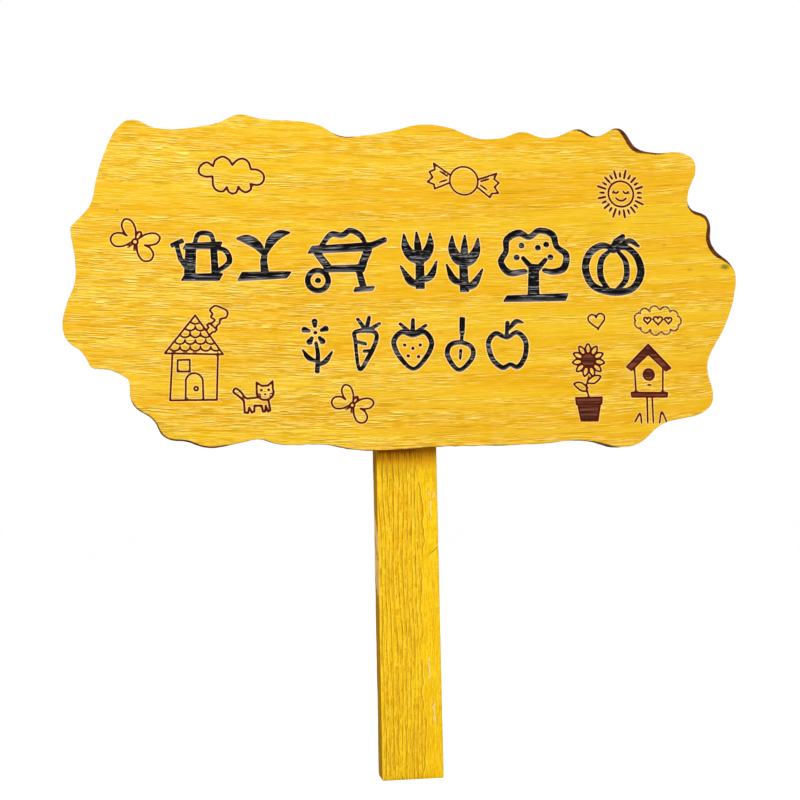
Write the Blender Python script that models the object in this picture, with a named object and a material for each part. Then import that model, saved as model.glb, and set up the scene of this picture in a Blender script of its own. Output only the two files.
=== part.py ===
"""A garden sign on a stake: a thick wooden board with a hand-shaped wavy rim, carried by one flat
timber stake behind it and held by countersunk wood screws driven from the back.

Lengths are in metres. +Z is up and the board faces -Y. The origin is the middle of the stake's lower
end, and Y is zero half way through the stake's thickness.
"""

import math

import bmesh
import bpy
from mathutils import Matrix, Vector
from mathutils.geometry import delaunay_2d_cdt

# Board
BOARD_WIDTH = 0.499
BOARD_HEIGHT = 0.2455
BOARD_THICKNESS = 0.018
BOARD_OFFSET = 0.005  # the board's middle stands this far to the right of the stake's
BOARD_ARRIS = 0.0008  # small chamfer round the front and back of the rim

# Stake
STAKE_WIDTH = 0.045
STAKE_THICKNESS = 0.020
STAKE_BELOW_BOARD = 0.2365  # from the stake's lower end to the board's lowest point
STAKE_TOP_MARGIN = 0.032  # the stake's top stays this far below the board's highest point
STAKE_ARRIS = 0.0006

# Screws, 4 mm by 30 mm with a countersunk head
SCREW_COUNT = 4
SCREW_RADIUS = 0.002
SCREW_BITE = 0.0102  # how far a screw reaches into the board
SCREW_TIP = 0.004  # length of the pointed tip
HEAD_RADIUS = 0.004
HEAD_RIM = 0.0003  # height of the thin cylindrical edge of the head
HEAD_SUNK = 0.0005  # the head lies this far below the stake's back face
SCREW_EDGE = 0.0115  # from a screw's axis to the nearer long edge of the stake
SCREW_END = 0.040  # from the outermost screws to the stake's top and to the board's lowest point

# Cross recess in the screw heads
RECESS_REACH = 0.0022  # half the length of an arm at the mouth
RECESS_HALF_WIDTH = 0.0005
RECESS_DEPTH = 0.0018
RECESS_TAPER = 0.5  # size of the recess's floor as a share of its mouth

# Pictures carved in the board's face, which are drawn in the rim's millimetres
CARVING_DEPTH = 0.0018

# Fits
SEAT_GAP = 0.0003  # between the board's back and the stake's front
HOLE_CLEARANCE = 0.0003  # all round a screw
OVERCUT = 0.001  # how far a cutter stands out of the surface it enters

# Mesh fineness
RIM_STEPS = 4  # straight steps between two points of the rim
ROUND_SIDES = 24
CURVE_STEPS = 2  # straight steps between two points of a curved stroke
RING_SIDES = 10  # sides of a round stroke
DOT_SIDES = 8
END_CORNER = 0.6  # where a blunt end's corners lie, as a share of the stroke's half width

# How the outlines of the strokes are joined
ALL_TRIANGLES = 0  # the kind of result that also tells which outlines a triangle lies in
WELD = 1e-4  # in millimetres

# Kinds of point on the rim
SMOOTH = "AUTO"
CORNER = "VECTOR"

# The rim as it was sawn by eye, clockwise from its lower left: x from the stake's middle line and z
# from the lowest point, in millimetres. The finished outline is stretched to the board's two sizes.
RIM_LEFT = (
    (-224, 59.5, CORNER), (-230, 71, SMOOTH), (-241, 80, SMOOTH), (-243.5, 93, SMOOTH),
    (-240.5, 106, SMOOTH), (-235, 122, SMOOTH), (-235, 134, SMOOTH), (-239, 160, CORNER),
    (-231, 168, SMOOTH), (-224, 178, SMOOTH), (-221, 194, SMOOTH), (-214, 217, SMOOTH),
    (-205, 234, SMOOTH),
)
RIM_TOP = (
    (-196, 239, SMOOTH), (-179, 233, SMOOTH), (-148, 235, SMOOTH), (-133, 239, SMOOTH),
    (-121, 245, SMOOTH), (-105, 242, SMOOTH), (-64, 239, SMOOTH), (-48, 231, SMOOTH),
    (-33, 231, SMOOTH), (-7, 236, SMOOTH), (14, 241, SMOOTH), (35, 239, SMOOTH),
    (56, 231.5, SMOOTH), (73, 232, SMOOTH), (92, 237.5, SMOOTH), (103, 233.5, SMOOTH),
    (116, 234, SMOOTH), (134, 241, SMOOTH), (147, 235, SMOOTH), (164, 242.5, SMOOTH),
    (170, 240, SMOOTH), (178, 228, SMOOTH), (191, 224, SMOOTH), (221, 222, SMOOTH),
)
RIM_RIGHT = (
    (225.5, 213, SMOOTH), (218.5, 193, SMOOTH), (219, 182, SMOOTH), (233.5, 175, SMOOTH),
    (236, 153, SMOOTH), (252.5, 135, SMOOTH), (253, 120, SMOOTH), (242, 88, SMOOTH),
    (228, 62, SMOOTH), (231.5, 35, SMOOTH), (226, 27, SMOOTH),
)
RIM_FOOT = (
    (213, 22, SMOOTH), (192, 17.5, SMOOTH), (171, 2, SMOOTH), (157, 0, SMOOTH),
    (141, 4, SMOOTH), (122, 5.5, SMOOTH), (102, 3.5, SMOOTH), (17, 2, SMOOTH),
    (-25, 0, SMOOTH), (-41, 1, SMOOTH), (-59, 4.5, SMOOTH), (-96, 5.5, SMOOTH),
    (-106, 9, SMOOTH), (-124, 6, SMOOTH), (-145, 3.5, SMOOTH), (-158, 8, SMOOTH),
    (-174, 11, SMOOTH), (-181.5, 23.5, SMOOTH), (-195.5, 34, SMOOTH), (-198, 52, CORNER),
    (-211, 58.5, SMOOTH),
)
RIM = RIM_LEFT + RIM_TOP + RIM_RIGHT + RIM_FOOT

# Worked out from the sizes above
STAKE_LENGTH = STAKE_BELOW_BOARD + BOARD_HEIGHT - STAKE_TOP_MARGIN
STAKE_FRONT = -STAKE_THICKNESS / 2
STAKE_BACK = STAKE_THICKNESS / 2
BOARD_BACK = STAKE_FRONT - SEAT_GAP
SCREW_LENGTH = STAKE_THICKNESS - HEAD_SUNK + SEAT_GAP + SCREW_BITE
HEAD_CONE = HEAD_RADIUS - SCREW_RADIUS  # height of the head's 45 degree cone


def clear_scene():
    """Start from nothing, with lengths read as metres."""
    for old in list(bpy.data.objects):
        bpy.data.objects.remove(old, do_unlink=True)
    bpy.context.scene.unit_settings.scale_length = 1.0


def material(name, colour, roughness, metallic=0.0):
    made = bpy.data.materials.new(name)
    made.use_nodes = True
    made.diffuse_color = (*colour, 1.0)
    shader = made.node_tree.nodes["Principled BSDF"]
    shader.inputs["Base Color"].default_value = (*colour, 1.0)
    shader.inputs["Roughness"].default_value = roughness
    shader.inputs["Metallic"].default_value = metallic
    return made


def amber_board():
    """Yellow oil stain on a light, straight-grained board."""
    return material("amber_board", (0.88, 0.54, 0.04), 0.48)


def amber_stake():
    """The same stain on coarser softwood, a shade deeper."""
    return material("amber_stake", (0.84, 0.48, 0.02), 0.55)


def zinc():
    """Bright zinc plating."""
    return material("zinc", (0.66, 0.66, 0.63), 0.32, 1.0)


def place(name, mesh, parent, location=(0, 0, 0), rotation=(0, 0, 0)):
    made = bpy.data.objects.new(name, mesh)
    bpy.context.scene.collection.objects.link(made)
    made.parent = parent
    made.location = location
    made.rotation_euler = rotation
    return made


def hide(helper):
    """Mark a cutter or a guide, which is no part of the sign."""
    helper.hide_render = True
    helper.display_type = "WIRE"
    return helper


def mesh_of(name, shape, finish=None):
    """Close a bmesh into a mesh with its faces turned outwards."""
    bmesh.ops.recalc_face_normals(shape, faces=shape.faces)
    mesh = bpy.data.meshes.new(name)
    shape.to_mesh(mesh)
    shape.free()
    if finish:
        mesh.materials.append(finish)
    return mesh


def add_chamfer(piece, width, least_angle):
    """Break the edges that turn by at least this angle."""
    chamfer = piece.modifiers.new("arris", "BEVEL")
    chamfer.width = width
    chamfer.segments = 1
    chamfer.limit_method = "ANGLE"
    chamfer.angle_limit = least_angle


def cut(piece, cutter):
    removed = piece.modifiers.new(cutter.name, "BOOLEAN")
    removed.operation = "DIFFERENCE"
    removed.solver = "EXACT"
    removed.object = cutter


def rim_guide(parent):
    """The board's outline as one closed curve, flat in its own X and Y."""
    curve = bpy.data.curves.new("rim_guide", "CURVE")
    curve.dimensions = "2D"
    curve.fill_mode = "NONE"
    curve.resolution_u = RIM_STEPS
    spline = curve.splines.new("BEZIER")
    spline.bezier_points.add(len(RIM) - 1)
    for knot, (x, z, kind) in zip(spline.bezier_points, RIM):
        knot.co = (x, z, 0)
        knot.handle_left_type = kind
        knot.handle_right_type = kind
    spline.use_cyclic_u = True
    return hide(place("rim_guide", curve, parent))


def stretch_to_board(outline):
    """What takes a flat outline to the board's width and height, its lower middle to the origin."""
    xs = [point.co.x for point in outline.vertices]
    ys = [point.co.y for point in outline.vertices]
    middle_low = Matrix.Translation((-(min(xs) + max(xs)) / 2, -min(ys), 0))
    stretch = Matrix.Diagonal((BOARD_WIDTH / (max(xs) - min(xs)), BOARD_HEIGHT / (max(ys) - min(ys)), 1, 1))
    return stretch @ middle_low


class Pen:
    """Draws a picture's strokes in its own millimetres, set down at a place and a turn in degrees.

    A stroke's points are (x, z, half width). It leaves the flat outlines of the grooves to cut.
    """

    def __init__(self, outlines, x, z, turn=0.0):
        self.outlines = outlines
        self.place = Matrix.Translation((x, z, 0)) @ Matrix.Rotation(math.radians(turn), 4, "Z")

    def outline(self, corners):
        """Keeps a closed outline, turned anticlockwise."""
        placed = [(self.place @ corner).xy for corner in corners]
        area = sum(here.cross(there) for here, there in zip(placed, placed[1:] + placed[:1]))
        self.outlines.append(placed if area > 0 else placed[::-1])

    def line(self, *points, closed=False):
        """Straight stretches with mitred corners, and blunt ends unless the stroke is closed."""
        spots = [Vector((x, z, 0)) for x, z, _ in points]
        legs = [(there - here).normalized() for here, there in zip(spots, spots[1:] + spots[:1])]
        if not closed:
            legs[-1] = legs[-2]
        before = legs[-1:] + legs[:-1] if closed else legs[:1] + legs[:-1]
        outs = [(a + b).normalized() * half for a, b, (_, _, half) in zip(before, legs, points)]
        sides = [Vector((-out.y, out.x, 0)) for out in outs]
        banks = [(spot + side, spot - side) for spot, side in zip(spots, sides)]
        stretches = list(zip(banks, banks[1:] + banks[:1]))
        if not closed:
            stretches.pop()
            for spot, side, out in ((spots[0], sides[0], -outs[0]), (spots[-1], sides[-1], outs[-1])):
                blunt = (spot + (out + side) * END_CORNER, spot + (out - side) * END_CORNER)
                self.outline((spot + side, *blunt, spot - side))
        for (left, right), (far_left, far_right) in stretches:
            self.outline((left, right, far_right, far_left))

    def curve(self, *points, closed=False):
        """A smooth stroke through its points."""
        knots = [Vector(point) for point in points]
        if closed:
            knots = [knots[-1], *knots, *knots[:2]]
        else:
            knots = [knots[0] * 2 - knots[1], *knots, knots[-1] * 2 - knots[-2]]
        smooth = []
        for before, here, there, after in zip(knots, knots[1:], knots[2:], knots[3:]):
            for step in range(CURVE_STEPS):
                share = step / CURVE_STEPS
                bend = 2 * before - 5 * here + 4 * there - after
                bend += share * (3 * (here - there) + after - before)
                smooth.append(here + share / 2 * (there - before + share * bend))
        if not closed:
            smooth.append(points[-1])
        self.line(*smooth, closed=closed)

    def bar(self, ax, az, a_half, bx, bz, b_half, slant=0.0):
        """A straight stroke with flat ends that lean by the slant."""
        start, end = Vector((ax, az, 0)), Vector((bx, bz, 0))
        ahead = (end - start).normalized()
        side = Vector((-ahead.y, ahead.x, 0))
        lean = ahead * slant
        near = (start + side * a_half + lean, start - side * a_half - lean)
        self.outline((*near, end - side * b_half - lean, end + side * b_half + lean))

    def round(self, x, z, radius, half_width):
        """A ring whose middle line has the radius."""
        self.line(*((*spot, half_width) for spot in polygon(x, z, radius, RING_SIDES)), closed=True)

    def dot(self, x, z, radius):
        self.outline([Vector((*spot, 0)) for spot in polygon(x, z, radius, DOT_SIDES)])


def polygon(x, z, radius, sides):
    """Corners of a regular outline."""
    turns = [number * math.tau / sides for number in range(sides)]
    return [(x + radius * math.cos(turn), z + radius * math.sin(turn)) for turn in turns]


# The pictures: garden things in two rows, the larger ones first


def watering_can(pen):
    pen.bar(-12.5, -15.5, 2.7, 13, -15, 3.0, 1.2)
    pen.bar(-8.5, -13, 4.1, -7.5, 7, 3.8)
    pen.bar(9.5, -13, 2.6, 8.5, 7, 2.5)
    pen.bar(-11.5, 7, 2.4, 13, 8, 2.9, 1.0)
    pen.line((-9, -10, 2.1), (-15, -2, 1.8), (-17.5, 8, 1.7))
    pen.bar(-21, 7.5, 1.8, -13.5, 11, 1.8)
    pen.curve((10, 6, 1.6), (17, 4, 1.9), (19.5, -4, 2.0), (11, -11, 1.6))
    pen.curve((-5, 9, 1.4), (-2, 16, 1.8), (6, 16, 1.8), (9, 9, 1.4))


def seedling(pen):
    pen.bar(-17, -15, 3.4, 17, -13.5, 2.7, 1.5)
    pen.line((0.5, -13, 3.0), (-0.5, -4, 2.6), (0.5, 3, 2.1))
    pen.curve((0, 1, 1.4), (-5, 8, 3.4), (-12, 12, 3.5), (-19, 12.5, 1.0))
    pen.curve((1, 2, 1.4), (5, 11, 3.4), (11, 16, 3.2), (18, 17.5, 1.0))


def barrow(pen):
    pen.bar(-24, 7.5, 3.0, 21, 10.5, 3.4, 1.5)
    pen.bar(-20, 6, 2.7, -11, -6, 2.9)
    pen.bar(18, 8, 3.0, 12, -6, 2.9)
    pen.bar(-14, -6.5, 2.5, 15, -5.5, 3.0, 1.0)
    pen.line((20, 11, 2.6), (30, 15.5, 2.1))
    pen.bar(11, -8, 2.4, 14, -20, 2.6)
    pen.bar(8, -21.5, 2.0, 21, -20.5, 2.0, 0.6)
    pen.round(-19, -15, 7.4, 2.1)
    pen.dot(-19, -15, 2.2)
    pen.curve((-16, 11, 1.6), (-9, 19, 2.2), (-1, 18.5, 2.2), (5, 22, 2.2), (12, 19, 2.1), (16, 13, 1.4))


def tulip(pen, lean):
    pen.bar(-1.0 * lean, -20, 3.5, 0.5 * lean, 0, 3.2)
    pen.curve((-9.5, 20.5, 0.8), (-9, 11, 3.2), (-5, 4, 4.0), (0, 0, 2.6))
    pen.curve((10, 20, 0.8), (9, 11, 3.1), (5, 4, 3.8), (0, 0, 2.6))
    pen.line((0, 21.5, 0.8), (0, 13, 2.6), (0, 4, 3.2))
    pen.curve((-1 * lean, -18, 1.6), (-8 * lean, -14, 2.9), (-14 * lean, -3, 0.8))
    pen.curve((1 * lean, -15, 1.6), (8 * lean, -11, 2.7), (13 * lean, -1, 0.8))


def apple_tree(pen):
    pen.bar(-1, -23, 4.6, 0, 0, 4.0)
    pen.bar(-22, -25.5, 2.6, 24, -24, 3.1, 1.2)
    pen.line((0, -4, 2.4), (-8, 5, 1.7))
    pen.line((0, -6, 2.4), (9, 4, 1.7))
    pen.curve(
        (-7, -5, 2.1), (-19, -6, 2.6), (-25, 2, 2.4), (-21, 10, 2.1), (-20, 19, 2.5), (-11, 24, 2.7),
        (-3, 21, 2.2), (5, 26, 2.4), (15, 23, 2.6), (18, 14, 2.2), (25, 8, 2.5), (23, -2, 2.7), (15, -5, 2.4), (8, -4, 1.9),
    )
    for x, z in ((-13, 5.5), (-9, 14.5), (3.5, 13), (13, 6), (10, 15.5)):
        pen.dot(x, z, 2.3)


def pumpkin(pen):
    pen.curve(
        (0, 14, 2.1), (-10, 15, 2.6), (-19, 8, 2.8), (-21.5, -4, 2.9), (-15, -16, 2.7), (0, -19.5, 2.9),
        (15, -16, 2.6), (21.5, -4, 3.0), (18.5, 8, 2.7), (10, 15, 2.4), closed=True,
    )
    pen.curve((-3, 12, 1.4), (-9.5, 4, 2.3), (-9.5, -9, 2.4), (-3, -18, 1.6))
    pen.curve((3, 12, 1.4), (9.5, 4, 2.2), (10, -9, 2.3), (3, -18, 1.6))
    pen.line((-0.5, 13, 3.2), (1.5, 19, 2.6), (6.5, 23.5, 2.0))
    pen.curve((4, 16, 1.4), (12, 20.5, 2.2), (19, 17, 1.3))


def flower(pen):
    for petal in range(5):
        sine, cosine = math.sin(petal * math.tau / 5), math.cos(petal * math.tau / 5)
        pen.line((sine * 4.8, 9 + cosine * 4.8, 1.4), (sine * 8.0, 9 + cosine * 8.0, 2.3))
    pen.dot(0, 9, 1.5)
    pen.curve((0, 1.5, 1.3), (0.8, -7, 1.6), (-0.5, -19, 1.8))
    pen.curve((0, -15, 1.0), (6, -12, 1.9), (11.5, -5, 0.7))
    pen.curve((0, -12, 1.0), (-6, -9, 1.9), (-10, -3, 0.7))


def carrot(pen):
    pen.curve(
        (-7, 2, 1.4), (-8, 7.5, 1.6), (-1, 10, 1.8), (7, 9.5, 1.6), (8, 3, 1.6), (4, -9, 1.7),
        (-1.5, -18.5, 1.3), closed=True,
    )
    pen.line((-5, 1, 1.3), (0.5, 0.5, 1.4))
    pen.line((5, -4, 1.3), (0.5, -5, 1.3))
    pen.line((0, 10, 1.7), (-7, 17.5, 1.3))
    pen.line((0, 10, 1.7), (1, 20, 1.4))
    pen.line((1, 10, 1.7), (9, 16.5, 1.3))


def strawberry(pen):
    pen.curve(
        (0, -18, 1.5), (-10, -9, 1.8), (-14, 2, 1.9), (-8, 9, 1.9), (0, 6.5, 1.6), (9, 9, 1.9), (14, 1, 1.9),
        (9.5, -9.5, 1.8), closed=True,
    )
    pen.line((0, 7, 1.7), (-9, 15, 1.2))
    pen.line((0, 7, 1.9), (0.5, 18, 1.4))
    pen.line((0, 7, 1.7), (10, 14, 1.2))
    for x, z in ((-6, -0.5), (5.5, -0.5), (0, -3), (-3.5, -8.5), (4, -9)):
        pen.dot(x, z, 1.3)


def trowel(pen):
    pen.bar(0, 20, 2.2, 0.5, 9, 2.0)
    pen.line((0.5, 9, 1.3), (0.5, 2, 1.3))
    pen.curve(
        (0, 2, 1.7), (-8, -1, 1.9), (-9, -9, 1.9), (0, -18.5, 1.6), (9, -9, 1.8), (8.5, -1, 1.7), closed=True,
    )
    pen.line((0.3, -4, 1.3), (0.3, -10, 0.9))


def apple(pen):
    pen.curve(
        (0, 6, 1.6), (-8, 9.5, 1.9), (-14, 3, 1.9), (-12, -9, 1.9), (-5, -16, 1.9), (1, -14, 1.6),
        (7, -16, 1.9), (13, -8, 1.9), (14, 3, 2.0), (8, 9.5, 1.8), closed=True,
    )
    pen.line((0, 7, 1.4), (1.5, 17, 1.6))
    pen.curve((2, 12, 1.1), (8, 17.5, 2.0), (13.5, 16.5, 0.7))


def picture_outlines():
    """The flat outlines of every picture, in the rim's millimetres."""
    outlines = []
    watering_can(Pen(outlines, -148, 140.5))
    seedling(Pen(outlines, -103.5, 141))
    barrow(Pen(outlines, -46, 138.5))
    tulip(Pen(outlines, 9.5, 138.5, 4), 1)
    tulip(Pen(outlines, 43, 136.5, -3), -1)
    apple_tree(Pen(outlines, 96, 136.5))
    pumpkin(Pen(outlines, 157.5, 136, -4))
    flower(Pen(outlines, -67, 76.5, 3))
    carrot(Pen(outlines, -32, 77, -8))
    strawberry(Pen(outlines, 3.5, 77))
    trowel(Pen(outlines, 39, 76.5, -5))
    apple(Pen(outlines, 74, 76, 3))
    return outlines


def carving(to_board):
    """The cutter of every picture: one solid over their joined outlines, from the grooves' floor up."""
    corners, outlines = [], []
    for outline in picture_outlines():
        outlines.append(list(range(len(corners), len(corners) + len(outline))))
        corners += outline
    points, _, triangles, _, _, owners = delaunay_2d_cdt(corners, [], outlines, ALL_TRIANGLES, WELD)
    shape = bmesh.new()
    spots = [shape.verts.new(to_board @ point.to_3d()) for point in points]
    for triangle, owner in zip(triangles, owners):
        if owner:
            shape.faces.new([spots[number] for number in triangle])
    bmesh.ops.delete(shape, geom=[spot for spot in spots if not spot.link_faces], context="VERTS")
    bmesh.ops.dissolve_limit(shape, angle_limit=math.radians(0.5), verts=shape.verts, edges=shape.edges)
    grown = bmesh.ops.extrude_face_region(shape, geom=shape.faces[:], use_keep_orig=True)["geom"]
    mouth = [part for part in grown if isinstance(part, bmesh.types.BMVert)]
    bmesh.ops.translate(shape, verts=mouth, vec=(0, 0, CARVING_DEPTH + OVERCUT))
    bmesh.ops.translate(shape, verts=shape.verts, vec=(0, 0, BOARD_THICKNESS - CARVING_DEPTH))
    return mesh_of("carving", shape)


def board(parent, finish):
    """The wavy board, drawn lying on its back and stood up against the stake."""
    guide = rim_guide(parent)
    bpy.context.view_layer.update()
    graph = bpy.context.evaluated_depsgraph_get()
    outline = bpy.data.meshes.new_from_object(guide.evaluated_get(graph))
    to_board = stretch_to_board(outline)
    outline.transform(to_board)
    shape = bmesh.new()
    shape.from_mesh(outline)
    bpy.data.meshes.remove(outline)
    back = bmesh.ops.edgeloop_fill(shape, edges=shape.edges)["faces"]
    grown = bmesh.ops.extrude_face_region(shape, geom=back, use_keep_orig=True)["geom"]
    front = [part for part in grown if isinstance(part, bmesh.types.BMVert)]
    bmesh.ops.translate(shape, verts=front, vec=(0, 0, BOARD_THICKNESS))
    mesh = mesh_of("board", shape, finish)
    stand = (BOARD_OFFSET, BOARD_BACK, STAKE_BELOW_BOARD), (math.pi / 2, 0, 0)
    piece = place("board", mesh, parent, *stand)
    add_chamfer(piece, BOARD_ARRIS, math.radians(85))
    cut(piece, hide(place("carving", carving(to_board), parent, *stand)))
    return piece


def stake(parent, finish):
    """A planed flat timber, cut square at both ends."""
    shape = bmesh.new()
    bmesh.ops.create_cube(shape, size=1.0)
    bmesh.ops.scale(shape, verts=shape.verts, vec=(STAKE_WIDTH, STAKE_THICKNESS, STAKE_LENGTH))
    bmesh.ops.translate(shape, verts=shape.verts, vec=(0, 0, STAKE_LENGTH / 2))
    piece = place("stake", mesh_of("stake", shape, finish), parent)
    add_chamfer(piece, STAKE_ARRIS, math.radians(60))
    return piece


def turned(name, profile, finish=None):
    """A solid of revolution about Z, from points (radius, height) that start and end on the axis."""
    shape = bmesh.new()
    points = [shape.verts.new((radius, 0, height)) for radius, height in profile]
    edges = [shape.edges.new(pair) for pair in zip(points, points[1:])]
    bmesh.ops.spin(
        shape,
        geom=points + edges,
        cent=(0, 0, 0),
        axis=(0, 0, 1),
        angle=2 * math.pi,
        steps=ROUND_SIDES,
        use_merge=True,
    )
    bmesh.ops.remove_doubles(shape, verts=shape.verts, dist=1e-6)
    mesh = mesh_of(name, shape, finish)
    mesh.shade_smooth()
    mesh.set_sharp_from_angle(angle=math.radians(30))
    return mesh


def screw_blank(finish):
    """A screw along Z before its recess is cut, with the top of its head at the origin."""
    profile = (
        (0, 0),
        (HEAD_RADIUS, 0),
        (HEAD_RADIUS, -HEAD_RIM),
        (SCREW_RADIUS, -HEAD_RIM - HEAD_CONE),
        (SCREW_RADIUS, -SCREW_LENGTH + SCREW_TIP),
        (0, -SCREW_LENGTH),
    )
    return turned("screw", profile, finish)


def screw_hole():
    """The countersunk hole for a screw: its outline grown by the clearance, and flat at the bottom."""
    mouth = HEAD_SUNK + OVERCUT
    drop = HOLE_CLEARANCE * math.tan(math.radians(22.5))  # keeps the clearance square to the cone
    profile = (
        (0, mouth),
        (HEAD_RADIUS + HOLE_CLEARANCE, mouth),
        (HEAD_RADIUS + HOLE_CLEARANCE, -HEAD_RIM - drop),
        (SCREW_RADIUS + HOLE_CLEARANCE, -HEAD_RIM - HEAD_CONE - drop),
        (SCREW_RADIUS + HOLE_CLEARANCE, -SCREW_LENGTH - HOLE_CLEARANCE),
        (0, -SCREW_LENGTH - HOLE_CLEARANCE),
    )
    return turned("screw_hole", profile)


def cross_ring(shape, height, scale):
    """The twelve corners of a cross at one height."""
    reach = RECESS_REACH * scale
    half = RECESS_HALF_WIDTH * scale
    corners = []
    for quarter in range(4):
        turn = Matrix.Rotation(quarter * math.pi / 2, 3, "Z")
        for x, y in ((reach, -half), (reach, half), (half, half)):
            corner = shape.verts.new((x, y, height))
            corner.co.xy = (turn @ corner.co).xy
            corners.append(corner)
    return corners


def cross_recess():
    """A tapered cross that stands a little out of the head."""
    shape = bmesh.new()
    floor = cross_ring(shape, -RECESS_DEPTH, RECESS_TAPER)
    mouth = cross_ring(shape, OVERCUT, 1.0)
    shape.faces.new(floor)
    shape.faces.new(mouth)
    for low, high in zip(zip(floor, floor[1:] + floor[:1]), zip(mouth, mouth[1:] + mouth[:1])):
        shape.faces.new((*low, *reversed(high)))
    return mesh_of("cross_recess", shape)


def screw_places():
    """Where the heads lie: a zigzag up the stake, within its overlap with the board."""
    reach = STAKE_WIDTH / 2 - SCREW_EDGE
    lowest = STAKE_BELOW_BOARD + SCREW_END
    highest = STAKE_LENGTH - SCREW_END
    for number in range(SCREW_COUNT):
        side = 1 if number % 2 else -1
        height = lowest + (highest - lowest) * number / (SCREW_COUNT - 1)
        yield side * reach, STAKE_BACK - HEAD_SUNK, height


def screws(parent, board_piece, stake_piece, finish):
    """The screws, each with its recess, and the holes that they stand in."""
    blank = screw_blank(finish)
    recess = cross_recess()
    hole = screw_hole()
    backwards = (-math.pi / 2, 0, 0)  # turns a screw's own +Z to +Y
    for number, where in enumerate(screw_places(), 1):
        screw = place(f"screw_{number}", blank, parent, where, backwards)
        cut(screw, hide(place(f"recess_{number}", recess, parent, where, backwards)))
        drill = hide(place(f"hole_{number}", hole, parent, where, backwards))
        cut(stake_piece, drill)
        cut(board_piece, drill)


def build():
    clear_scene()
    sign = bpy.data.objects.new("sign", None)
    bpy.context.scene.collection.objects.link(sign)
    board_piece = board(sign, amber_board())
    stake_piece = stake(sign, amber_stake())
    screws(sign, board_piece, stake_piece, zinc())


build()
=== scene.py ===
"""The looks of a carved garden sign on a stake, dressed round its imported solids.

Lengths are in metres. What is drawn on the board's face is in millimetres instead: x from the
stake's middle line and z from the board's lowest point, as a reader of the board sees them.
"""

import math

import bmesh
import bpy
import numpy as np
from bpy.props import FloatProperty, FloatVectorProperty, IntProperty, PointerProperty
from mathutils import Matrix, Vector
from mathutils.geometry import delaunay_2d_cdt


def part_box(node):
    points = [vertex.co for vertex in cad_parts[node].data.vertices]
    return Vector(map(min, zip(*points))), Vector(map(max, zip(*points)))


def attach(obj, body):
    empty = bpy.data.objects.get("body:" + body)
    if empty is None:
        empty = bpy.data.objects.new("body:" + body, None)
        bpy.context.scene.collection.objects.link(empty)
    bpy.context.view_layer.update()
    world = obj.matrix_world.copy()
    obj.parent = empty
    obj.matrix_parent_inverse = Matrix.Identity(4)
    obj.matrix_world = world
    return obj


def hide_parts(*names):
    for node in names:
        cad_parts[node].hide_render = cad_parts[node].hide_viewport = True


bl_info = {
    "name": "Carved Stake Sign",
    "version": (1, 0, 0),
    "blender": (4, 5, 0),
    "location": "View3D > Sidebar > Sign",
    "description": "Builds a stained wooden board with carved pictures, its stake, screws and a plain studio",
    "category": "Add Mesh",
}

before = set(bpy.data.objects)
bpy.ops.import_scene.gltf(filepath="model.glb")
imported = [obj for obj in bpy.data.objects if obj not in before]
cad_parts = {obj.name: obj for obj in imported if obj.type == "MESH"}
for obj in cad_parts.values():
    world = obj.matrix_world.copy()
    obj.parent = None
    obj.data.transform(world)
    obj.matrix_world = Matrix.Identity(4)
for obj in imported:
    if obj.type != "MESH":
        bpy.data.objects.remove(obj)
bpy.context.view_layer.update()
MM = 0.001

BOARD_LOW, BOARD_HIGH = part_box("board")
STAKE_LOW, STAKE_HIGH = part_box("stake")
SCREW_NAMES = sorted(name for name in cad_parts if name.startswith("screw_"))


# Node trees


def arithmetic(operation, swapped=False):
    """A method of a wire that adds one Math node."""

    def method(self, *others):
        values = (*others, self) if swapped else (self, *others)
        return self.tree.add("ShaderNodeMath", {"operation": operation}, dict(enumerate(values)))

    return method


class Wire:
    """An output socket. Arithmetic on it adds Math nodes."""

    __add__ = __radd__ = arithmetic("ADD")
    __mul__ = __rmul__ = arithmetic("MULTIPLY")
    __sub__, __rsub__ = arithmetic("SUBTRACT"), arithmetic("SUBTRACT", swapped=True)
    __truediv__, __rtruediv__ = arithmetic("DIVIDE"), arithmetic("DIVIDE", swapped=True)
    __abs__ = arithmetic("ABSOLUTE")
    fraction = arithmetic("FRACT")
    root = arithmetic("SQRT")
    most = arithmetic("MAXIMUM")

    def __init__(self, tree, socket):
        self.tree, self.socket = tree, socket

    def __neg__(self):
        return self * -1

    def rise(self, low, high):
        """0 below low, 1 above high and a soft step between. It falls where low is above high."""
        values = {"Value": self, "From Min": min(low, high), "From Max": max(low, high)}
        values |= {"To Min": float(low > high), "To Max": float(low < high)}
        return self.tree.add("ShaderNodeMapRange", {"interpolation_type": "SMOOTHSTEP"}, values)


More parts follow.
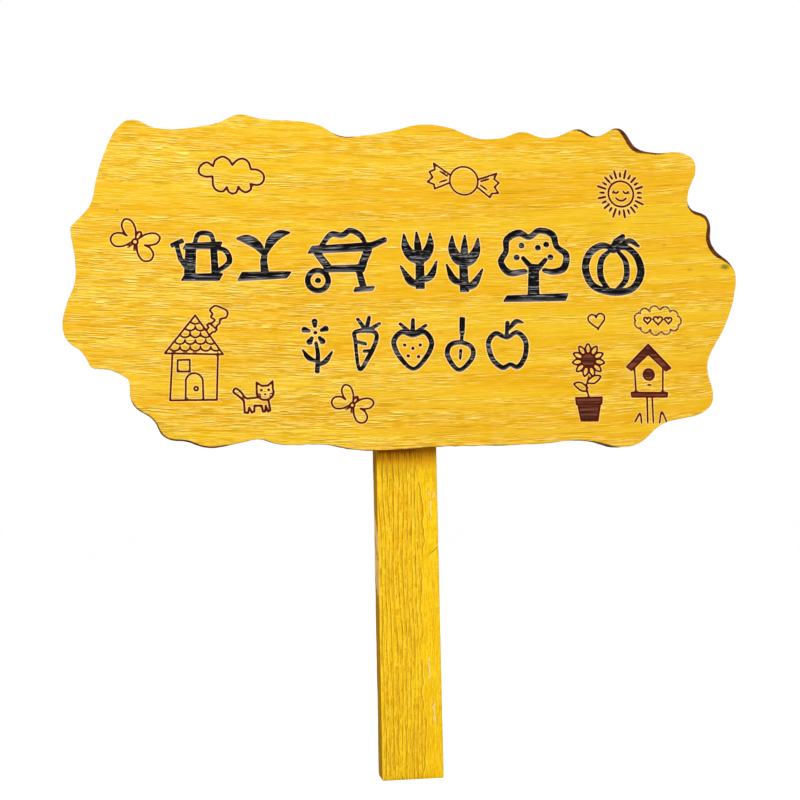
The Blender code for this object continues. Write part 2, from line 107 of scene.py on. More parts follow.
class Tree:
    """Adds nodes to a node tree, each by its type, its settings and what its inputs hold."""

    def __init__(self, made):
        self.made = made

    def add(self, kind, settings=None, inputs=None, output=0):
        node = self.made.nodes.new(kind)
        for name, value in (settings or {}).items():
            setattr(node, name, value)
        for key, value in (inputs or {}).items():
            self.feed(self.pick(node.inputs, key), value)
        return Wire(self, self.pick(node.outputs, output))

    def pick(self, sockets, key):
        if isinstance(key, int):
            return sockets[key]
        return next(s for s in sockets if s.name == key and not s.is_unavailable)

    def feed(self, socket, value):
        """Links a wire or a list of wires to a socket, or sets its constant. A colour gets its alpha here."""
        if isinstance(value, (Wire, list)):
            for wire in value if isinstance(value, list) else [value]:
                self.made.links.new(wire.socket, socket)
        elif value is not None:
            socket.default_value = (*value, 1.0) if socket.type == "RGBA" else value

    def vector(self, x, y, z):
        return self.add("ShaderNodeCombineXYZ", inputs={0: x, 1: y, 2: z})

    def split(self, vector):
        """The three numbers of a vector."""
        node = self.made.nodes.new("ShaderNodeSeparateXYZ")
        self.feed(node.inputs[0], vector)
        return [Wire(self, socket) for socket in node.outputs]

    def noise(self, x, y, z, detail=2.0, roughness=0.5):
        values = {"Vector": self.vector(x, y, z), "Scale": 1.0, "Detail": detail, "Roughness": roughness}
        return self.add("ShaderNodeTexNoise", inputs=values)

    def blend(self, share, first, second):
        """Mixes two colours."""
        values = {"Factor": share, "A": first, "B": second}
        return self.add("ShaderNodeMix", {"data_type": "RGBA"}, values, "Result")

    def between(self, share, first, second):
        """Mixes two numbers."""
        return first + (second - first) * share


class Finish(Tree):
    """A material with one Principled shader."""

    def __init__(self, name, viewport_colour):
        self.material = bpy.data.materials.new(name)
        self.material.use_nodes = True
        self.material.diffuse_color = (*viewport_colour, 1.0)
        super().__init__(self.material.node_tree)
        self.shader = self.made.nodes["Principled BSDF"]

    def place(self):
        """The point on the object, in millimetres, as three numbers."""
        return [value / MM for value in self.split(self.add("ShaderNodeTexCoord", output="Object"))]

    def attribute(self, name):
        return self.add("ShaderNodeAttribute", {"attribute_name": name}, output="Fac")

    def relief(self, height, distance):
        """A normal that leans as the height does, from 0 to 1 over a distance in metres."""
        return self.add("ShaderNodeBump", inputs={"Height": height, "Distance": distance, "Strength": 1.0})

    def wear(self, **values):
        """Sets the shader's sockets, named with underscores for spaces."""
        for name, value in values.items():
            self.feed(self.shader.inputs[name.replace("_", " ")], value)
        return self.material


class Shape(Tree):
    """A Geometry Nodes tree with named inputs, run once on an object of its own."""

    def __init__(self, name):
        super().__init__(bpy.data.node_groups.new(name, "GeometryNodeTree"))
        self.face = self.made.interface
        self.start = self.made.nodes.new("NodeGroupInput")
        self.values = {}

    def given(self, name, value, kind="NodeSocketFloat"):
        """Adds an input with the value that it will be run with."""
        socket = self.face.new_socket(name, in_out="INPUT", socket_type=kind)
        self.values[socket.identifier] = value
        return Wire(self, self.pick(self.start.outputs, name))

    def place(self):
        """The point on the mesh, in millimetres, as three numbers."""
        return [value / MM for value in self.split(self.add("GeometryNodeInputPosition"))]

    def attribute(self, name):
        settings = {"data_type": "FLOAT"}
        return self.add("GeometryNodeInputNamedAttribute", settings, {"Name": name}, "Attribute")

    def inward(self, depth):
        """A step into the surface."""
        normal = self.add("GeometryNodeInputNormal")
        return self.add("ShaderNodeVectorMath", {"operation": "SCALE"}, {0: normal, "Scale": -depth})

    def move(self, shape, offset=None, place=None):
        values = {"Geometry": shape, "Position": place, "Offset": offset}
        return self.add("GeometryNodeSetPosition", inputs=values)

    def lift(self, shape, height):
        values = {"Geometry": shape, "Translation": self.vector(0.0, 0.0, height)}
        return self.add("GeometryNodeTransform", inputs=values)

    def turned(self, sides, top, bottom, height, place):
        """A cone or a cylinder that stands on the height given as its place."""
        values = {"Vertices": sides, "Radius Top": top, "Radius Bottom": bottom, "Depth": height}
        return self.lift(self.add("GeometryNodeMeshCone", {"fill_type": "NGON"}, values), place)

    def united(self, *bodies):
        settings = {"operation": "UNION", "solver": "EXACT"}
        return self.add("GeometryNodeMeshBoolean", settings, {1: list(bodies)})

    def without(self, body, cutter, solver="EXACT"):
        settings = {"operation": "DIFFERENCE", "solver": solver}
        return self.add("GeometryNodeMeshBoolean", settings, {"Mesh 1": body, "Mesh 2": cutter})

    def at_screws(self, points, body, turn):
        """Sets a body down at every screw, its own z pointing out of the stake's back."""
        index = self.add("GeometryNodeInputIndex")
        rotation = self.vector(-math.pi / 2, index * turn, 0.0)
        values = {"Points": points, "Instance": body, "Rotation": rotation}
        placed = self.add("GeometryNodeInstanceOnPoints", inputs=values)
        return self.add("GeometryNodeRealizeInstances", inputs={"Geometry": placed})

    def run(self, shape, material, name, mesh):
        """Ends the tree, runs it on a mesh and returns the result as a plain object."""
        real = self.add("GeometryNodeRealizeInstances", inputs={"Geometry": shape})
        worn = self.add("GeometryNodeSetMaterial", inputs={"Geometry": real, "Material": material})
        self.face.new_socket("Geometry", in_out="OUTPUT", socket_type="NodeSocketGeometry")
        self.feed(self.made.nodes.new("NodeGroupOutput").inputs[0], worn)
        source = new_object(name + "_source", mesh)
        modifier = source.modifiers.new(name, "NODES")
        modifier.node_group = self.made
        for identifier, value in self.values.items():
            if value is not None:
                modifier[identifier] = value
        graph = bpy.context.evaluated_depsgraph_get()
        made = bpy.data.meshes.new_from_object(source.evaluated_get(graph))
        source.modifiers.clear()
        bpy.data.objects.remove(source)
        made.name = name
        if not made.polygons:
            raise RuntimeError(f"the tree for {name} made no faces")
        return new_object(name, made)


def new_object(name, data):
    made = bpy.data.objects.new(name, data)
    bpy.context.scene.collection.objects.link(made)
    return made


# Settings


def length(name, description, default):
    return FloatProperty(name=name, description=description, default=default, unit="LENGTH", precision=5)


def colour(name, description, default):
    return FloatVectorProperty(name=name, description=description, default=default, subtype="COLOR")


def angle(name, description, default):
    return FloatProperty(name=name, description=description, default=default, subtype="ANGLE")


def amount(name, description, default):
    return FloatProperty(name=name, description=description, default=default, min=0)


class BoardSettings(bpy.types.PropertyGroup):
    bold_depth: length("Bold strokes", "Depth of the widest painted strokes", 0.0026)
    line_depth: length("Fine lines", "Depth of the fine lines", 0.0007)
    patch_depth: length("Filled patches", "Depth of the filled patches", 0.0009)
    chamfer: length("Chamfer", "Least width of the chamfer round the face", 0.0004)
    lean: length("Lean", "Extra width of the chamfer where the saw leaned", 0.0038)
    undercut: length("Undercut", "How far the back stands in where the saw leaned the other way", 0.0034)
    brush: length("Brushing", "Depth of the brushed grain on the faces", 0.00012)
    ridges: length("Ridges", "Height of the grain that stands up inside the strokes", 0.0002)
    hewing: length("Hewing", "Depth of the tool marks on the rim", 0.0005)


class StakeSettings(bpy.types.PropertyGroup):
    cell_across: length("Cell across", "Mesh spacing across the stake", 0.0006)
    cell_along: length("Cell along", "Mesh spacing along the stake", 0.0028)
    ring_pitch: length("Ring pitch", "Spacing of the growth rings", 0.0026)
    ring_depth: length("Ring depth", "Depth of the grooves between the rings", 0.00045)
    arris: length("Arris", "How far the long edges are eased", 0.0005)


class ScrewSettings(bpy.types.PropertyGroup):
    head: length("Head radius", "Radius of the head", 0.004)
    shank: length("Shank radius", "Radius of the shank and over the threads", 0.002)
    core: length("Core radius", "Radius of the shank between the threads", 0.00145)
    clearance: length("Clearance", "Room all round a screw in the stake", 0.0003)
    turn: angle("Turn", "How far each screw is turned past the last", 0.7)
    pitch: length("Pitch", "Distance between two turns of the thread", 0.0018)
    sides: IntProperty(name="Sides", description="Sides of the round shapes", default=32, min=12)


class FinishSettings(bpy.types.PropertyGroup):
    amber: colour("Amber", "Stain on the board's face", (0.81, 0.483, 0.013))
    amber_warm: colour("Warm amber", "Stain on the smoother bands", (0.775, 0.395, 0.005))
    amber_pale_and_highlight: colour("Pale amber", "Pale stain, and painted highlights on raised fibres", (1.0, 0.765, 0.17))
    amber_deep_and_shade: colour("Deep amber", "Stain in the pores, and painted shade below raised fibres", (0.43, 0.195, 0.003))
    stake: colour("Stake amber", "Stain on the stake", (0.95, 0.56, 0.004))
    stake_warm: colour("Warm stake", "Stain on the stake's darker bands", (0.88, 0.45, 0.003))
    stake_pale_and_highlight: colour("Pale stake", "Pale stain, and painted highlights on the stake's raised fibres", (1.0, 0.74, 0.050))
    stake_deep_and_shade: colour("Deep stake", "Stain in the stake's grooves, and painted shade", (0.42, 0.18, 0.002))
    stake_quiet: colour("Quiet stake", "Stain on the stake's smooth part", (1.0, 0.64, 0.006))
    stake_side_shade: colour("Stake side", "Painted shade on the stake's left side", (0.34, 0.135, 0.0))
    stain_and_shade_under_board: colour("Soaked", "Stain that ran down, and painted shade, under the board", (0.33, 0.060, 0.001))
    painted_light_under_board: colour("Light under board", "Painted light on the stake where the board shades it", (1.0, 0.45, 0.006))
    smear: colour("Smear", "Stain scorched beside the strokes", (0.88, 0.36, 0.010))
    edge: colour("Edge", "Dark stain on the sawn rim", (0.050, 0.013, 0.006))
    edge_worn: colour("Worn edge", "Sawn rim where the stain is thin", (0.17, 0.05, 0.012))
    paint: colour("Paint", "Paint in the bold strokes", (0.004, 0.0035, 0.003))
    painted_highlight_on_paint: colour("Highlights on paint", "Painted highlights on the ridges inside the strokes", (0.29, 0.28, 0.29))
    painted_highlight_on_walls: colour("Highlights on walls", "Painted highlights on the lower walls of the strokes", (0.34, 0.29, 0.32))
    line: colour("Line", "Burnt fine lines", (0.095, 0.006, 0.002))
    line_lit: colour("Line edge", "Painted highlight on the lower edge of the burnt lines", (0.15, 0.022, 0.012))
    patch: colour("Patch", "Brown stain in the filled patches", (0.185, 0.052, 0.028))
    knot: colour("Knot", "Small knots in the board", (0.22, 0.175, 0.015))
    highlight_and_pale_wood: colour("Halo", "Pale wood and painted highlight beside the strokes", (1.0, 0.74, 0.30))
    raw: colour("Raw wood", "Wood that the stain missed", (0.86, 0.55, 0.20))
    zinc: colour("Zinc", "Plating of the screws", (0.66, 0.66, 0.63))
    zinc_dull: colour("Dull zinc", "Cloudy parts of the plating", (0.52, 0.50, 0.42))


class StudioSettings(bpy.types.PropertyGroup):
    camera_place: FloatVectorProperty(
        name="Camera",
        description="Place of the camera",
        default=(-0.145155, -0.919220, 0.193595),
        subtype="XYZ",
    )
    yaw: angle("Yaw", "Turn of the camera to the right", 0.154043)
    pitch: angle("Pitch", "Tilt of the camera upwards", 0.087708)
    roll: angle("Roll", "Lean of the camera", -0.020469)
    lens: amount("Lens", "Focal length in millimetres", 56.25)
    key: amount("Key lamp", "Power of the large lamp in watts", 22.0)
    fill: amount("Fill lamp", "Power of the small lamp in watts", 9.0)
    back: amount("Back lamp", "Power of the lamp behind in watts", 9.0)
    ambient: amount("Ambient", "Light from all round", 0.48)


class SignSettings(bpy.types.PropertyGroup):
    board: PointerProperty(type=BoardSettings, name="Board", description="Sizes of the carving and the rim")
    stake: PointerProperty(type=StakeSettings, name="Stake", description="Sizes of the stake's grain")
    screws: PointerProperty(type=ScrewSettings, name="Screws", description="Sizes of the screws")
    finish: PointerProperty(type=FinishSettings, name="Finish", description="Colours")
    studio: PointerProperty(type=StudioSettings, name="Studio", description="Camera and lamps")


# Carving: distances on a fine grid over the board's face

INK, LINE, PATCH = FINISHES = ("ink", "line", "patch")
GRID_STEP = 0.5
FAR = 4.0  # distances beyond this are left at it
BOLD_WIDTH, FINE_WIDTH = 2.1, 0.66  # half the width of a stroke
WIDEST = 4.2  # a bold stroke of this half width has the full depth
NARROWING = 0.7  # how fast the depth falls with the width
STEEPNESS = 1.7  # how round the floor of a groove is
BAR_CORNER = 0.9  # rounding of a straight stroke's corners
PATCH_EDGE = 0.8  # width of the slope round a patch
ARC_STEP, SPINE_STEP, RIM_STEP = 0.9, 1.3, 1.4  # between the points of arcs, fine lines and the rim
CHAMFER_SLOPE, LEAN_SLOPE = 0.9, 0.25  # how far the chamfer and the lean fall back for each millimetre
BACK_CHAMFER = 0.7  # width and depth of the chamfer round the back
BACK_MARGIN = 5.0  # from the outline to the back's inner points
WALL_ROWS = 7  # of faces between the front and the back
HOLE_SIDES, HOLE_RADIUS, HOLE_DEPTH = 20, 2.3, 10.5  # of the pilot holes in the board's back
KNOTS = (  # x, z, radius and darkness of each knot
    (245.5, 136.5, 2.6, 0.9), (217.5, 134, 1.4, 0.4), (198, 153, 1.2, 0.4), (-207, 173, 0.7, 0.8),
    (56.5, 154, 0.7, 0.8), (121.5, 155.5, 0.8, 0.7), (213.5, 74, 0.8, 0.7),
)
LEANS = (  # x, z, reach and share of the lean for each place where the saw leaned
    (139, 237.5, 9, 0.5), (176, 234, 17, 1.0), (191, 224, 12, 0.35), (230.5, 173, 17, 0.7),
    (236, 152, 18, 1.0), (246, 143, 10, 0.5), (-194, 30, 12, 0.12), (-178, 17, 16, 0.16),
    (-157, 8.5, 16, 0.16), (-140, 3, 12, 0.12), (-43.6, 233, 10, 0.15),
)
CHIPS = (  # x, z, half width and half height of the pale chips in the stake's front
    (16.3, 205.5, 0.6, 2.8), (19.8, 204, 0.7, 2.4), (17.2, 193, 0.6, 8), (16.5, 47, 0.9, 8),
    (13.5, 78, 0.7, 9),
)


def smooth_through(points, closed, steps=7):
    """A smooth curve through points that may hold more than two numbers each."""
    points = np.asarray(points, float)
    count = len(points)
    if closed:
        around = [np.roll(points, shift, axis=0) for shift in (1, 0, -1, -2)]
    else:
        padded = np.vstack([2 * points[0] - points[1], points, 2 * points[-1] - points[-2]])
        around = [padded[start : start + count - 1] for start in range(4)]
    share = (np.arange(steps) / steps)[:, None, None]
    before, here, there, after = around
    bend = 2 * before - 5 * here + 4 * there - after + share * (3 * (here - there) + after - before)
    curve = here + 0.5 * share * (there - before + share * bend)
    curve = curve.transpose(1, 0, 2).reshape(-1, points.shape[1])
    return curve if closed else np.vstack([curve, points[-1]])


def arc(centre_x, centre_z, radius, start=0.0, end=360.0, squash=1.0):
    """Points on an arc, by angles in degrees anticlockwise from the right."""
    count = max(5, int(abs(end - start) / 360 * math.tau * radius / ARC_STEP))
    angles = np.radians(np.linspace(start, end, count + 1))
    return np.stack([centre_x + radius * np.cos(angles), centre_z + radius * squash * np.sin(angles)], 1)


class Grid:
    """Evenly spaced places over the board's face."""

    def __init__(self, low, high):
        self.xs, self.zs = [np.arange(start, end + GRID_STEP, GRID_STEP) for start, end in zip(low, high)]
        self.shape = (len(self.xs), len(self.zs))

    def window(self, points, reach):
        """The part of the grid within reach of some points, and its coordinates."""
        low, high = points.min(0) - reach, points.max(0) + reach
        columns = slice(*np.searchsorted(self.xs, (low[0], high[0])))
        rows = slice(*np.searchsorted(self.zs, (low[1], high[1])))
        return (columns, rows), self.xs[columns, None], self.zs[None, rows]

    def read(self, values, points):
        """The grid's values at any points, worked out between its places."""
        u = np.clip((points[:, 0] - self.xs[0]) / GRID_STEP, 0, self.shape[0] - 1.001)
        v = np.clip((points[:, 1] - self.zs[0]) / GRID_STEP, 0, self.shape[1] - 1.001)
        i, j = u.astype(int), v.astype(int)
        u, v = u - i, v - j
        low = values[i, j] * (1 - u) + values[i + 1, j] * u
        high = values[i, j + 1] * (1 - u) + values[i + 1, j + 1] * u
        return low * (1 - v) + high * v

    def lattice(self, across, up):
        """Staggered rows of points over the grid."""
        rows = np.arange(self.zs[0], self.zs[-1], up)
        gx, gz = np.meshgrid(np.arange(self.xs[0], self.xs[-1], across), rows, indexing="ij")
        gx = gx + across / 2 * (np.arange(len(rows)) % 2)
        return np.stack([gx.ravel(), gz.ravel()], 1)


def from_segment(gx, gz, start, end):
    """How far each place lies from a segment, and how far along it, from 0 to 1."""
    (ax, az), (bx, bz) = start[:2], end[:2]
    dx, dz = bx - ax, bz - az
    along = np.clip(((gx - ax) * dx + (gz - az) * dz) / max(dx * dx + dz * dz, 1e-9), 0, 1)
    return np.hypot(gx - ax - along * dx, gz - az - along * dz), along


class Carving:
    """How far each place of a grid lies inside the strokes of each finish, and how deep it is cut."""

    def __init__(self, grid, sizes):
        self.grid = grid
        self.within = {finish: np.full(grid.shape, -FAR) for finish in FINISHES}
        self.depth = np.zeros(grid.shape)
        depths = (sizes.bold_depth / MM, sizes.line_depth / MM, sizes.patch_depth / MM)
        self.depths = dict(zip(FINISHES, depths))
        self.spines = []

    def keep(self, finish, view, within, half_width):
        """Adds one cut. Its floor is reached half a width inside its edge."""
        self.within[finish][view] = np.maximum(self.within[finish][view], within)
        floor = self.depths[finish]
        if finish == INK:
            floor = floor * np.minimum(half_width / WIDEST, 1) ** NARROWING
        share = np.clip(within / half_width, 0, 1)
        self.depth[view] = np.maximum(self.depth[view], floor * (1 - (1 - share) ** STEEPNESS))

    def stroke(self, finish, points):
        """A cut along points (x, z, half width) with round ends."""
        for start, end in zip(points, points[1:]):
            ends = np.array([start[:2], end[:2]])
            view, gx, gz = self.grid.window(ends, max(start[2], end[2]) + FAR)
            reach, along = from_segment(gx, gz, start, end)
            width = start[2] + (end[2] - start[2]) * along
            self.keep(finish, view, width - reach, width)
            if finish == LINE:
                steps = max(1, round(math.dist(*ends) / SPINE_STEP))
                self.spines += [ends[0] + (ends[1] - ends[0]) * step / steps for step in range(steps)]

    def to_outline(self, corners, gx, gz):
        """Distance to a closed outline, positive inside it."""
        nearest = np.full(np.broadcast(gx, gz).shape, np.inf)
        inside = np.zeros(nearest.shape, bool)
        for start, end in zip(corners, np.roll(corners, -1, axis=0)):
            nearest = np.minimum(nearest, from_segment(gx, gz, start, end)[0])
            (ax, az), (bx, bz) = start, end
            if az != bz:
                inside ^= ((az > gz) != (bz > gz)) & (gx < ax + (gz - az) / (bz - az) * (bx - ax))
        return np.where(inside, nearest, -nearest)

    def region(self, finish, corners, half_width, rounding=0.0):
        """A cut that fills an outline grown by the rounding."""
        corners = np.asarray(corners, float)
        view, gx, gz = self.grid.window(corners, FAR)
        self.keep(finish, view, self.to_outline(corners, gx, gz) + rounding, half_width)

    def ring(self, finish, discs, half_width):
        """A line round the union of discs (x, z, radius)."""
        view, gx, gz = self.grid.window(discs[:, :2], discs[:, 2].max() + FAR)
        union = np.max([radius - np.hypot(gx - x, gz - z) for x, z, radius in discs], axis=0)
        self.keep(finish, view, half_width - abs(union), half_width)


class Pen:
    """Draws one picture in its own millimetres, set down at a place, a size and a turn in degrees."""

    def __init__(self, carving, finish, width, x, z, size=1.0, turn=0.0):
        self.carving, self.finish, self.width, self.size = carving, finish, width, size
        cosine, sine = math.cos(math.radians(turn)), math.sin(math.radians(turn))
        self.turn = np.array([(cosine, sine), (-sine, cosine)]) * size
        self.place = np.array([x, z])

    def at(self, points):
        return np.asarray(points, float)[:, :2] @ self.turn + self.place

    def line(self, *points, closed=False, smooth=False):
        """Points are (x, z) or (x, z, half width)."""
        full = np.array([(*p, self.width)[:3] for p in points], float)
        if smooth:
            full = smooth_through(full, closed)
        if closed:
            full = np.vstack([full, full[0]])
        self.carving.stroke(self.finish, np.hstack([self.at(full), full[:, 2:]]))

    def curve(self, *points, closed=False):
        self.line(*points, closed=closed, smooth=True)

    def round(self, x, z, radius, start=0.0, end=360.0):
        self.line(*arc(x, z, radius, start, end))

    def dot(self, x, z, radius):
        self.line((x, z, radius), (x + 0.01, z, radius))

    def bar(self, ax, az, aw, bx, bz, bw, slant=0.0):
        """A straight stroke with flat ends, aw and bw half wide, its ends leaning by the slant."""
        ends = self.at([(ax, az), (bx, bz)])
        along = (ends[1] - ends[0]) / math.dist(*ends)
        across = np.array([-along[1], along[0]])
        corners = [
            ends[end] + (across * (width - BAR_CORNER) + along * slant) * side
            for end, width, side in ((0, aw, 1), (0, aw, -1), (1, bw, -1), (1, bw, 1))
        ]
        self.carving.region(self.finish, corners, max(aw, bw), BAR_CORNER)

    def fill(self, *corners):
        """A stained patch."""
        self.carving.region(PATCH, self.at(corners), PATCH_EDGE)

    def puffs(self, *discs):
        """The outline of a few discs that run into each other."""
        discs = np.asarray(discs, float)
        self.carving.ring(self.finish, np.hstack([self.at(discs), discs[:, 2:] * self.size]), self.width)


# Pictures in bold strokes


def watering_can(pen):
    pen.bar(-12.5, -15.5, 2.7, 13, -15, 3.0, 1.2)
    pen.bar(-8.5, -13, 4.1, -7.5, 7, 3.8)
    pen.bar(9.5, -13, 2.6, 8.5, 7, 2.5)
    pen.bar(-11.5, 7, 2.4, 13, 8, 2.9, 1.0)
    pen.line((-9, -10, 2.1), (-15, -2, 1.8), (-17.5, 8, 1.7))
    pen.bar(-21, 7.5, 1.8, -13.5, 11, 1.8)
    pen.curve((10, 6, 1.6), (17, 4, 1.9), (19.5, -4, 2.0), (11, -11, 1.6))
    pen.curve((-5, 9, 1.4), (-2, 16, 1.8), (6, 16, 1.8), (9, 9, 1.4))


def seedling(pen):
    pen.bar(-17, -15, 3.4, 17, -13.5, 2.7, 1.5)
    pen.line((0.5, -13, 3.0), (-0.5, -4, 2.6), (0.5, 3, 2.1))
    pen.curve((0, 1, 1.4), (-5, 8, 3.4), (-12, 12, 3.5), (-19, 12.5, 1.0))
    pen.curve((1, 2, 1.4), (5, 11, 3.4), (11, 16, 3.2), (18, 17.5, 1.0))


def barrow(pen):
    pen.bar(-24, 7.5, 3.0, 21, 10.5, 3.4, 1.5)
    pen.bar(-20, 6, 2.7, -11, -6, 2.9)
    pen.bar(18, 8, 3.0, 12, -6, 2.9)
    pen.bar(-14, -6.5, 2.5, 15, -5.5, 3.0, 1.0)
    pen.line((20, 11, 2.6), (30, 15.5, 2.1))
    pen.bar(11, -8, 2.4, 14, -20, 2.6)
    pen.bar(8, -21.5, 2.0, 21, -20.5, 2.0, 0.6)
    pen.round(-19, -15, 7.4)
    pen.dot(-19, -15, 2.2)
    pen.curve((-16, 11, 1.6), (-9, 19, 2.2), (-1, 18.5, 2.2), (5, 22, 2.2), (12, 19, 2.1), (16, 13, 1.4))


def tulip(pen, lean):
    pen.bar(-1.0 * lean, -20, 3.5, 0.5 * lean, 0, 3.2)
    pen.curve((-9.5, 20.5, 0.8), (-9, 11, 3.2), (-5, 4, 4.0), (0, 0, 2.6))
    pen.curve((10, 20, 0.8), (9, 11, 3.1), (5, 4, 3.8), (0, 0, 2.6))
    pen.line((0, 21.5, 0.8), (0, 13, 2.6), (0, 4, 3.2))
    pen.curve((-1 * lean, -18, 1.6), (-8 * lean, -14, 2.9), (-14 * lean, -3, 0.8))
    pen.curve((1 * lean, -15, 1.6), (8 * lean, -11, 2.7), (13 * lean, -1, 0.8))


def apple_tree(pen):
    pen.bar(-1, -23, 4.6, 0, 0, 4.0)
    pen.bar(-22, -25.5, 2.6, 24, -24, 3.1, 1.2)
    pen.line((0, -4, 2.4), (-8, 5, 1.7))
    pen.line((0, -6, 2.4), (9, 4, 1.7))
    pen.curve(
        (-7, -5, 2.1), (-19, -6, 2.6), (-25, 2, 2.4), (-21, 10, 2.1), (-20, 19, 2.5), (-11, 24, 2.7),
        (-3, 21, 2.2), (5, 26, 2.4), (15, 23, 2.6), (18, 14, 2.2), (25, 8, 2.5), (23, -2, 2.7),
        (15, -5, 2.4), (8, -4, 1.9),
    )
    for x, z in ((-13, 5.5), (-9, 14.5), (3.5, 13), (13, 6), (10, 15.5)):
        pen.dot(x, z, 2.3)


def pumpkin(pen):
    pen.curve(
        (0, 14, 2.1), (-10, 15, 2.6), (-19, 8, 2.8), (-21.5, -4, 2.9), (-15, -16, 2.7), (0, -19.5, 2.9),
        (15, -16, 2.6), (21.5, -4, 3.0), (18.5, 8, 2.7), (10, 15, 2.4), closed=True,
    )
    pen.curve((-3, 12, 1.4), (-9.5, 4, 2.3), (-9.5, -9, 2.4), (-3, -18, 1.6))
    pen.curve((3, 12, 1.4), (9.5, 4, 2.2), (10, -9, 2.3), (3, -18, 1.6))
    pen.line((-0.5, 13, 3.2), (1.5, 19, 2.6), (6.5, 23.5, 2.0))
    pen.curve((4, 16, 1.4), (12, 20.5, 2.2), (19, 17, 1.3))


def flower(pen):
    for petal in range(5):
        sine, cosine = math.sin(petal * math.tau / 5), math.cos(petal * math.tau / 5)
        pen.line((sine * 4.8, 9 + cosine * 4.8, 1.4), (sine * 8.0, 9 + cosine * 8.0, 2.3))
    pen.dot(0, 9, 1.5)
    pen.curve((0, 1.5, 1.3), (0.8, -7, 1.6), (-0.5, -19, 1.8))
    pen.curve((0, -15, 1.0), (6, -12, 1.9), (11.5, -5, 0.7))
    pen.curve((0, -12, 1.0), (-6, -9, 1.9), (-10, -3, 0.7))


def carrot(pen):
    pen.curve(
        (-7, 2, 1.4), (-8, 7.5, 1.6), (-1, 10, 1.8), (7, 9.5, 1.6), (8, 3, 1.6), (4, -9, 1.7),
        (-1.5, -18.5, 1.3), closed=True,
    )
    pen.line((-5, 1, 1.3), (0.5, 0.5, 1.4))
    pen.line((5, -4, 1.3), (0.5, -5, 1.3))
    pen.line((0, 10, 1.7), (-7, 17.5, 1.3))
    pen.line((0, 10, 1.7), (1, 20, 1.4))
    pen.line((1, 10, 1.7), (9, 16.5, 1.3))


def strawberry(pen):
    pen.curve(
        (0, -18, 1.5), (-10, -9, 1.8), (-14, 2, 1.9), (-8, 9, 1.9), (0, 6.5, 1.6), (9, 9, 1.9), (14, 1, 1.9),
        (9.5, -9.5, 1.8), closed=True,
    )
    pen.line((0, 7, 1.7), (-9, 15, 1.2))
    pen.line((0, 7, 1.9), (0.5, 18, 1.4))
    pen.line((0, 7, 1.7), (10, 14, 1.2))
    for x, z in ((-6, -0.5), (5.5, -0.5), (0, -3), (-3.5, -8.5), (4, -9)):
        pen.dot(x, z, 1.3)


def trowel(pen):
    pen.bar(0, 20, 2.2, 0.5, 9, 2.0)
    pen.line((0.5, 9, 1.3), (0.5, 2, 1.3))
    pen.curve(
        (0, 2, 1.7), (-8, -1, 1.9), (-9, -9, 1.9), (0, -18.5, 1.6), (9, -9, 1.8), (8.5, -1, 1.7), closed=True,
    )
    pen.line((0.3, -4, 1.3), (0.3, -10, 0.9))


def apple(pen):
    pen.curve(
        (0, 6, 1.6), (-8, 9.5, 1.9), (-14, 3, 1.9), (-12, -9, 1.9), (-5, -16, 1.9), (1, -14, 1.6),
        (7, -16, 1.9), (13, -8, 1.9), (14, 3, 2.0), (8, 9.5, 1.8), closed=True,
    )
    pen.line((0, 7, 1.4), (1.5, 17, 1.6))
    pen.curve((2, 12, 1.1), (8, 17.5, 2.0), (13.5, 16.5, 0.7))


# Pictures in fine lines


def cloud(pen):
    """Seven bumps, each a curve of its own."""
    pen.curve((-13, 5.8), (-17.6, 8.6), (-22.4, 5.2), (-22.8, 0.4), (-18.6, -1.8), (-13.4, -1.6))
    pen.curve((-13, 5.8), (-11.2, 10.4), (-6.2, 13), (-1.8, 11), (0.8, 7))
    pen.curve((0.8, 7), (4.4, 10.8), (8.8, 11.8), (12.4, 9.2), (14, 4.2))
    pen.curve((14, 4.2), (19, 3.8), (23, 0.6), (23, -4.2), (19.4, -7.2), (13.6, -6.6))
    pen.curve((13.6, -6.6), (14, -10.4), (10.4, -12.8), (7, -11.4), (5, -8.8))
    pen.curve((5, -8.8), (3.6, -12.8), (0.8, -14), (-2, -12.6), (-3.2, -9.2))
    pen.curve((-3.2, -9.2), (-6, -12.4), (-10, -12), (-12.8, -8.8), (-13.4, -1.6))


def sweet(pen):
    """A round sweet with a twisted wrapper."""
    pen.round(0, 0, 10.6)
    for side in (-1, 1):
        pen.line(
            (side * 10.4, 2.6), (side * 24, 9.5), (side * 22.5, 5), (side * 26.5, 2.6), (side * 23.5, -1.0),
            (side * 27, -5.2), (side * 22, -6.2), (side * 21, -9.5), (side * 10.2, -3.0),
        )
        pen.line((side * 13, 1.6), (side * 18.5, 4.2))
        pen.line((side * 13, -1.4), (side * 18, -4.0))


def sun(pen):
    """A sleepy face with a crown of rays."""
    rays = 25
    pen.round(0, 0, 9.8)
    for ray in range(rays):
        angle = math.tau * (ray + 0.3) / rays
        start, end = (12.6, 17.4 + ray % 3 * 0.7) if ray % 2 else (13.4, 16.2)
        pen.line(*[(math.cos(angle) * reach, math.sin(angle) * reach, 0.85) for reach in (start, end)])
    for side in (-1, 1):
        pen.round(side * 3.9, 2.4, 1.9, 195, 345)
        pen.line((side * 5.4, 1.4), (side * 6.4, 0.8))
    pen.round(0, -0.4, 4.8, 215, 325)


def butterfly(pen):
    """Two pairs of open wings on a body that hangs head down."""
    pen.line(*arc(0, 5.6, 1.7, squash=2.1))
    pen.round(0, -0.3, 2.2)
    for side in (-1, 1):
        pen.line((side * 1.2, -3.4), (side * 2.6, -6.8))
        wing = ((1.8, 4.4), (4.8, 9.4), (10.4, 13.4), (15.6, 12.4), (15.8, 7), (11.6, 2.8), (8.0, 1.0))
        pen.curve(*[(side * x, z) for x, z in wing])
        wing = ((8.0, 1.0), (13.2, 0.8), (17.8, -2.8), (17.6, -8.2), (12.4, -10.8), (6.4, -7.6), (2.0, -1.4))
        pen.curve(*[(side * x, z) for x, z in wing])


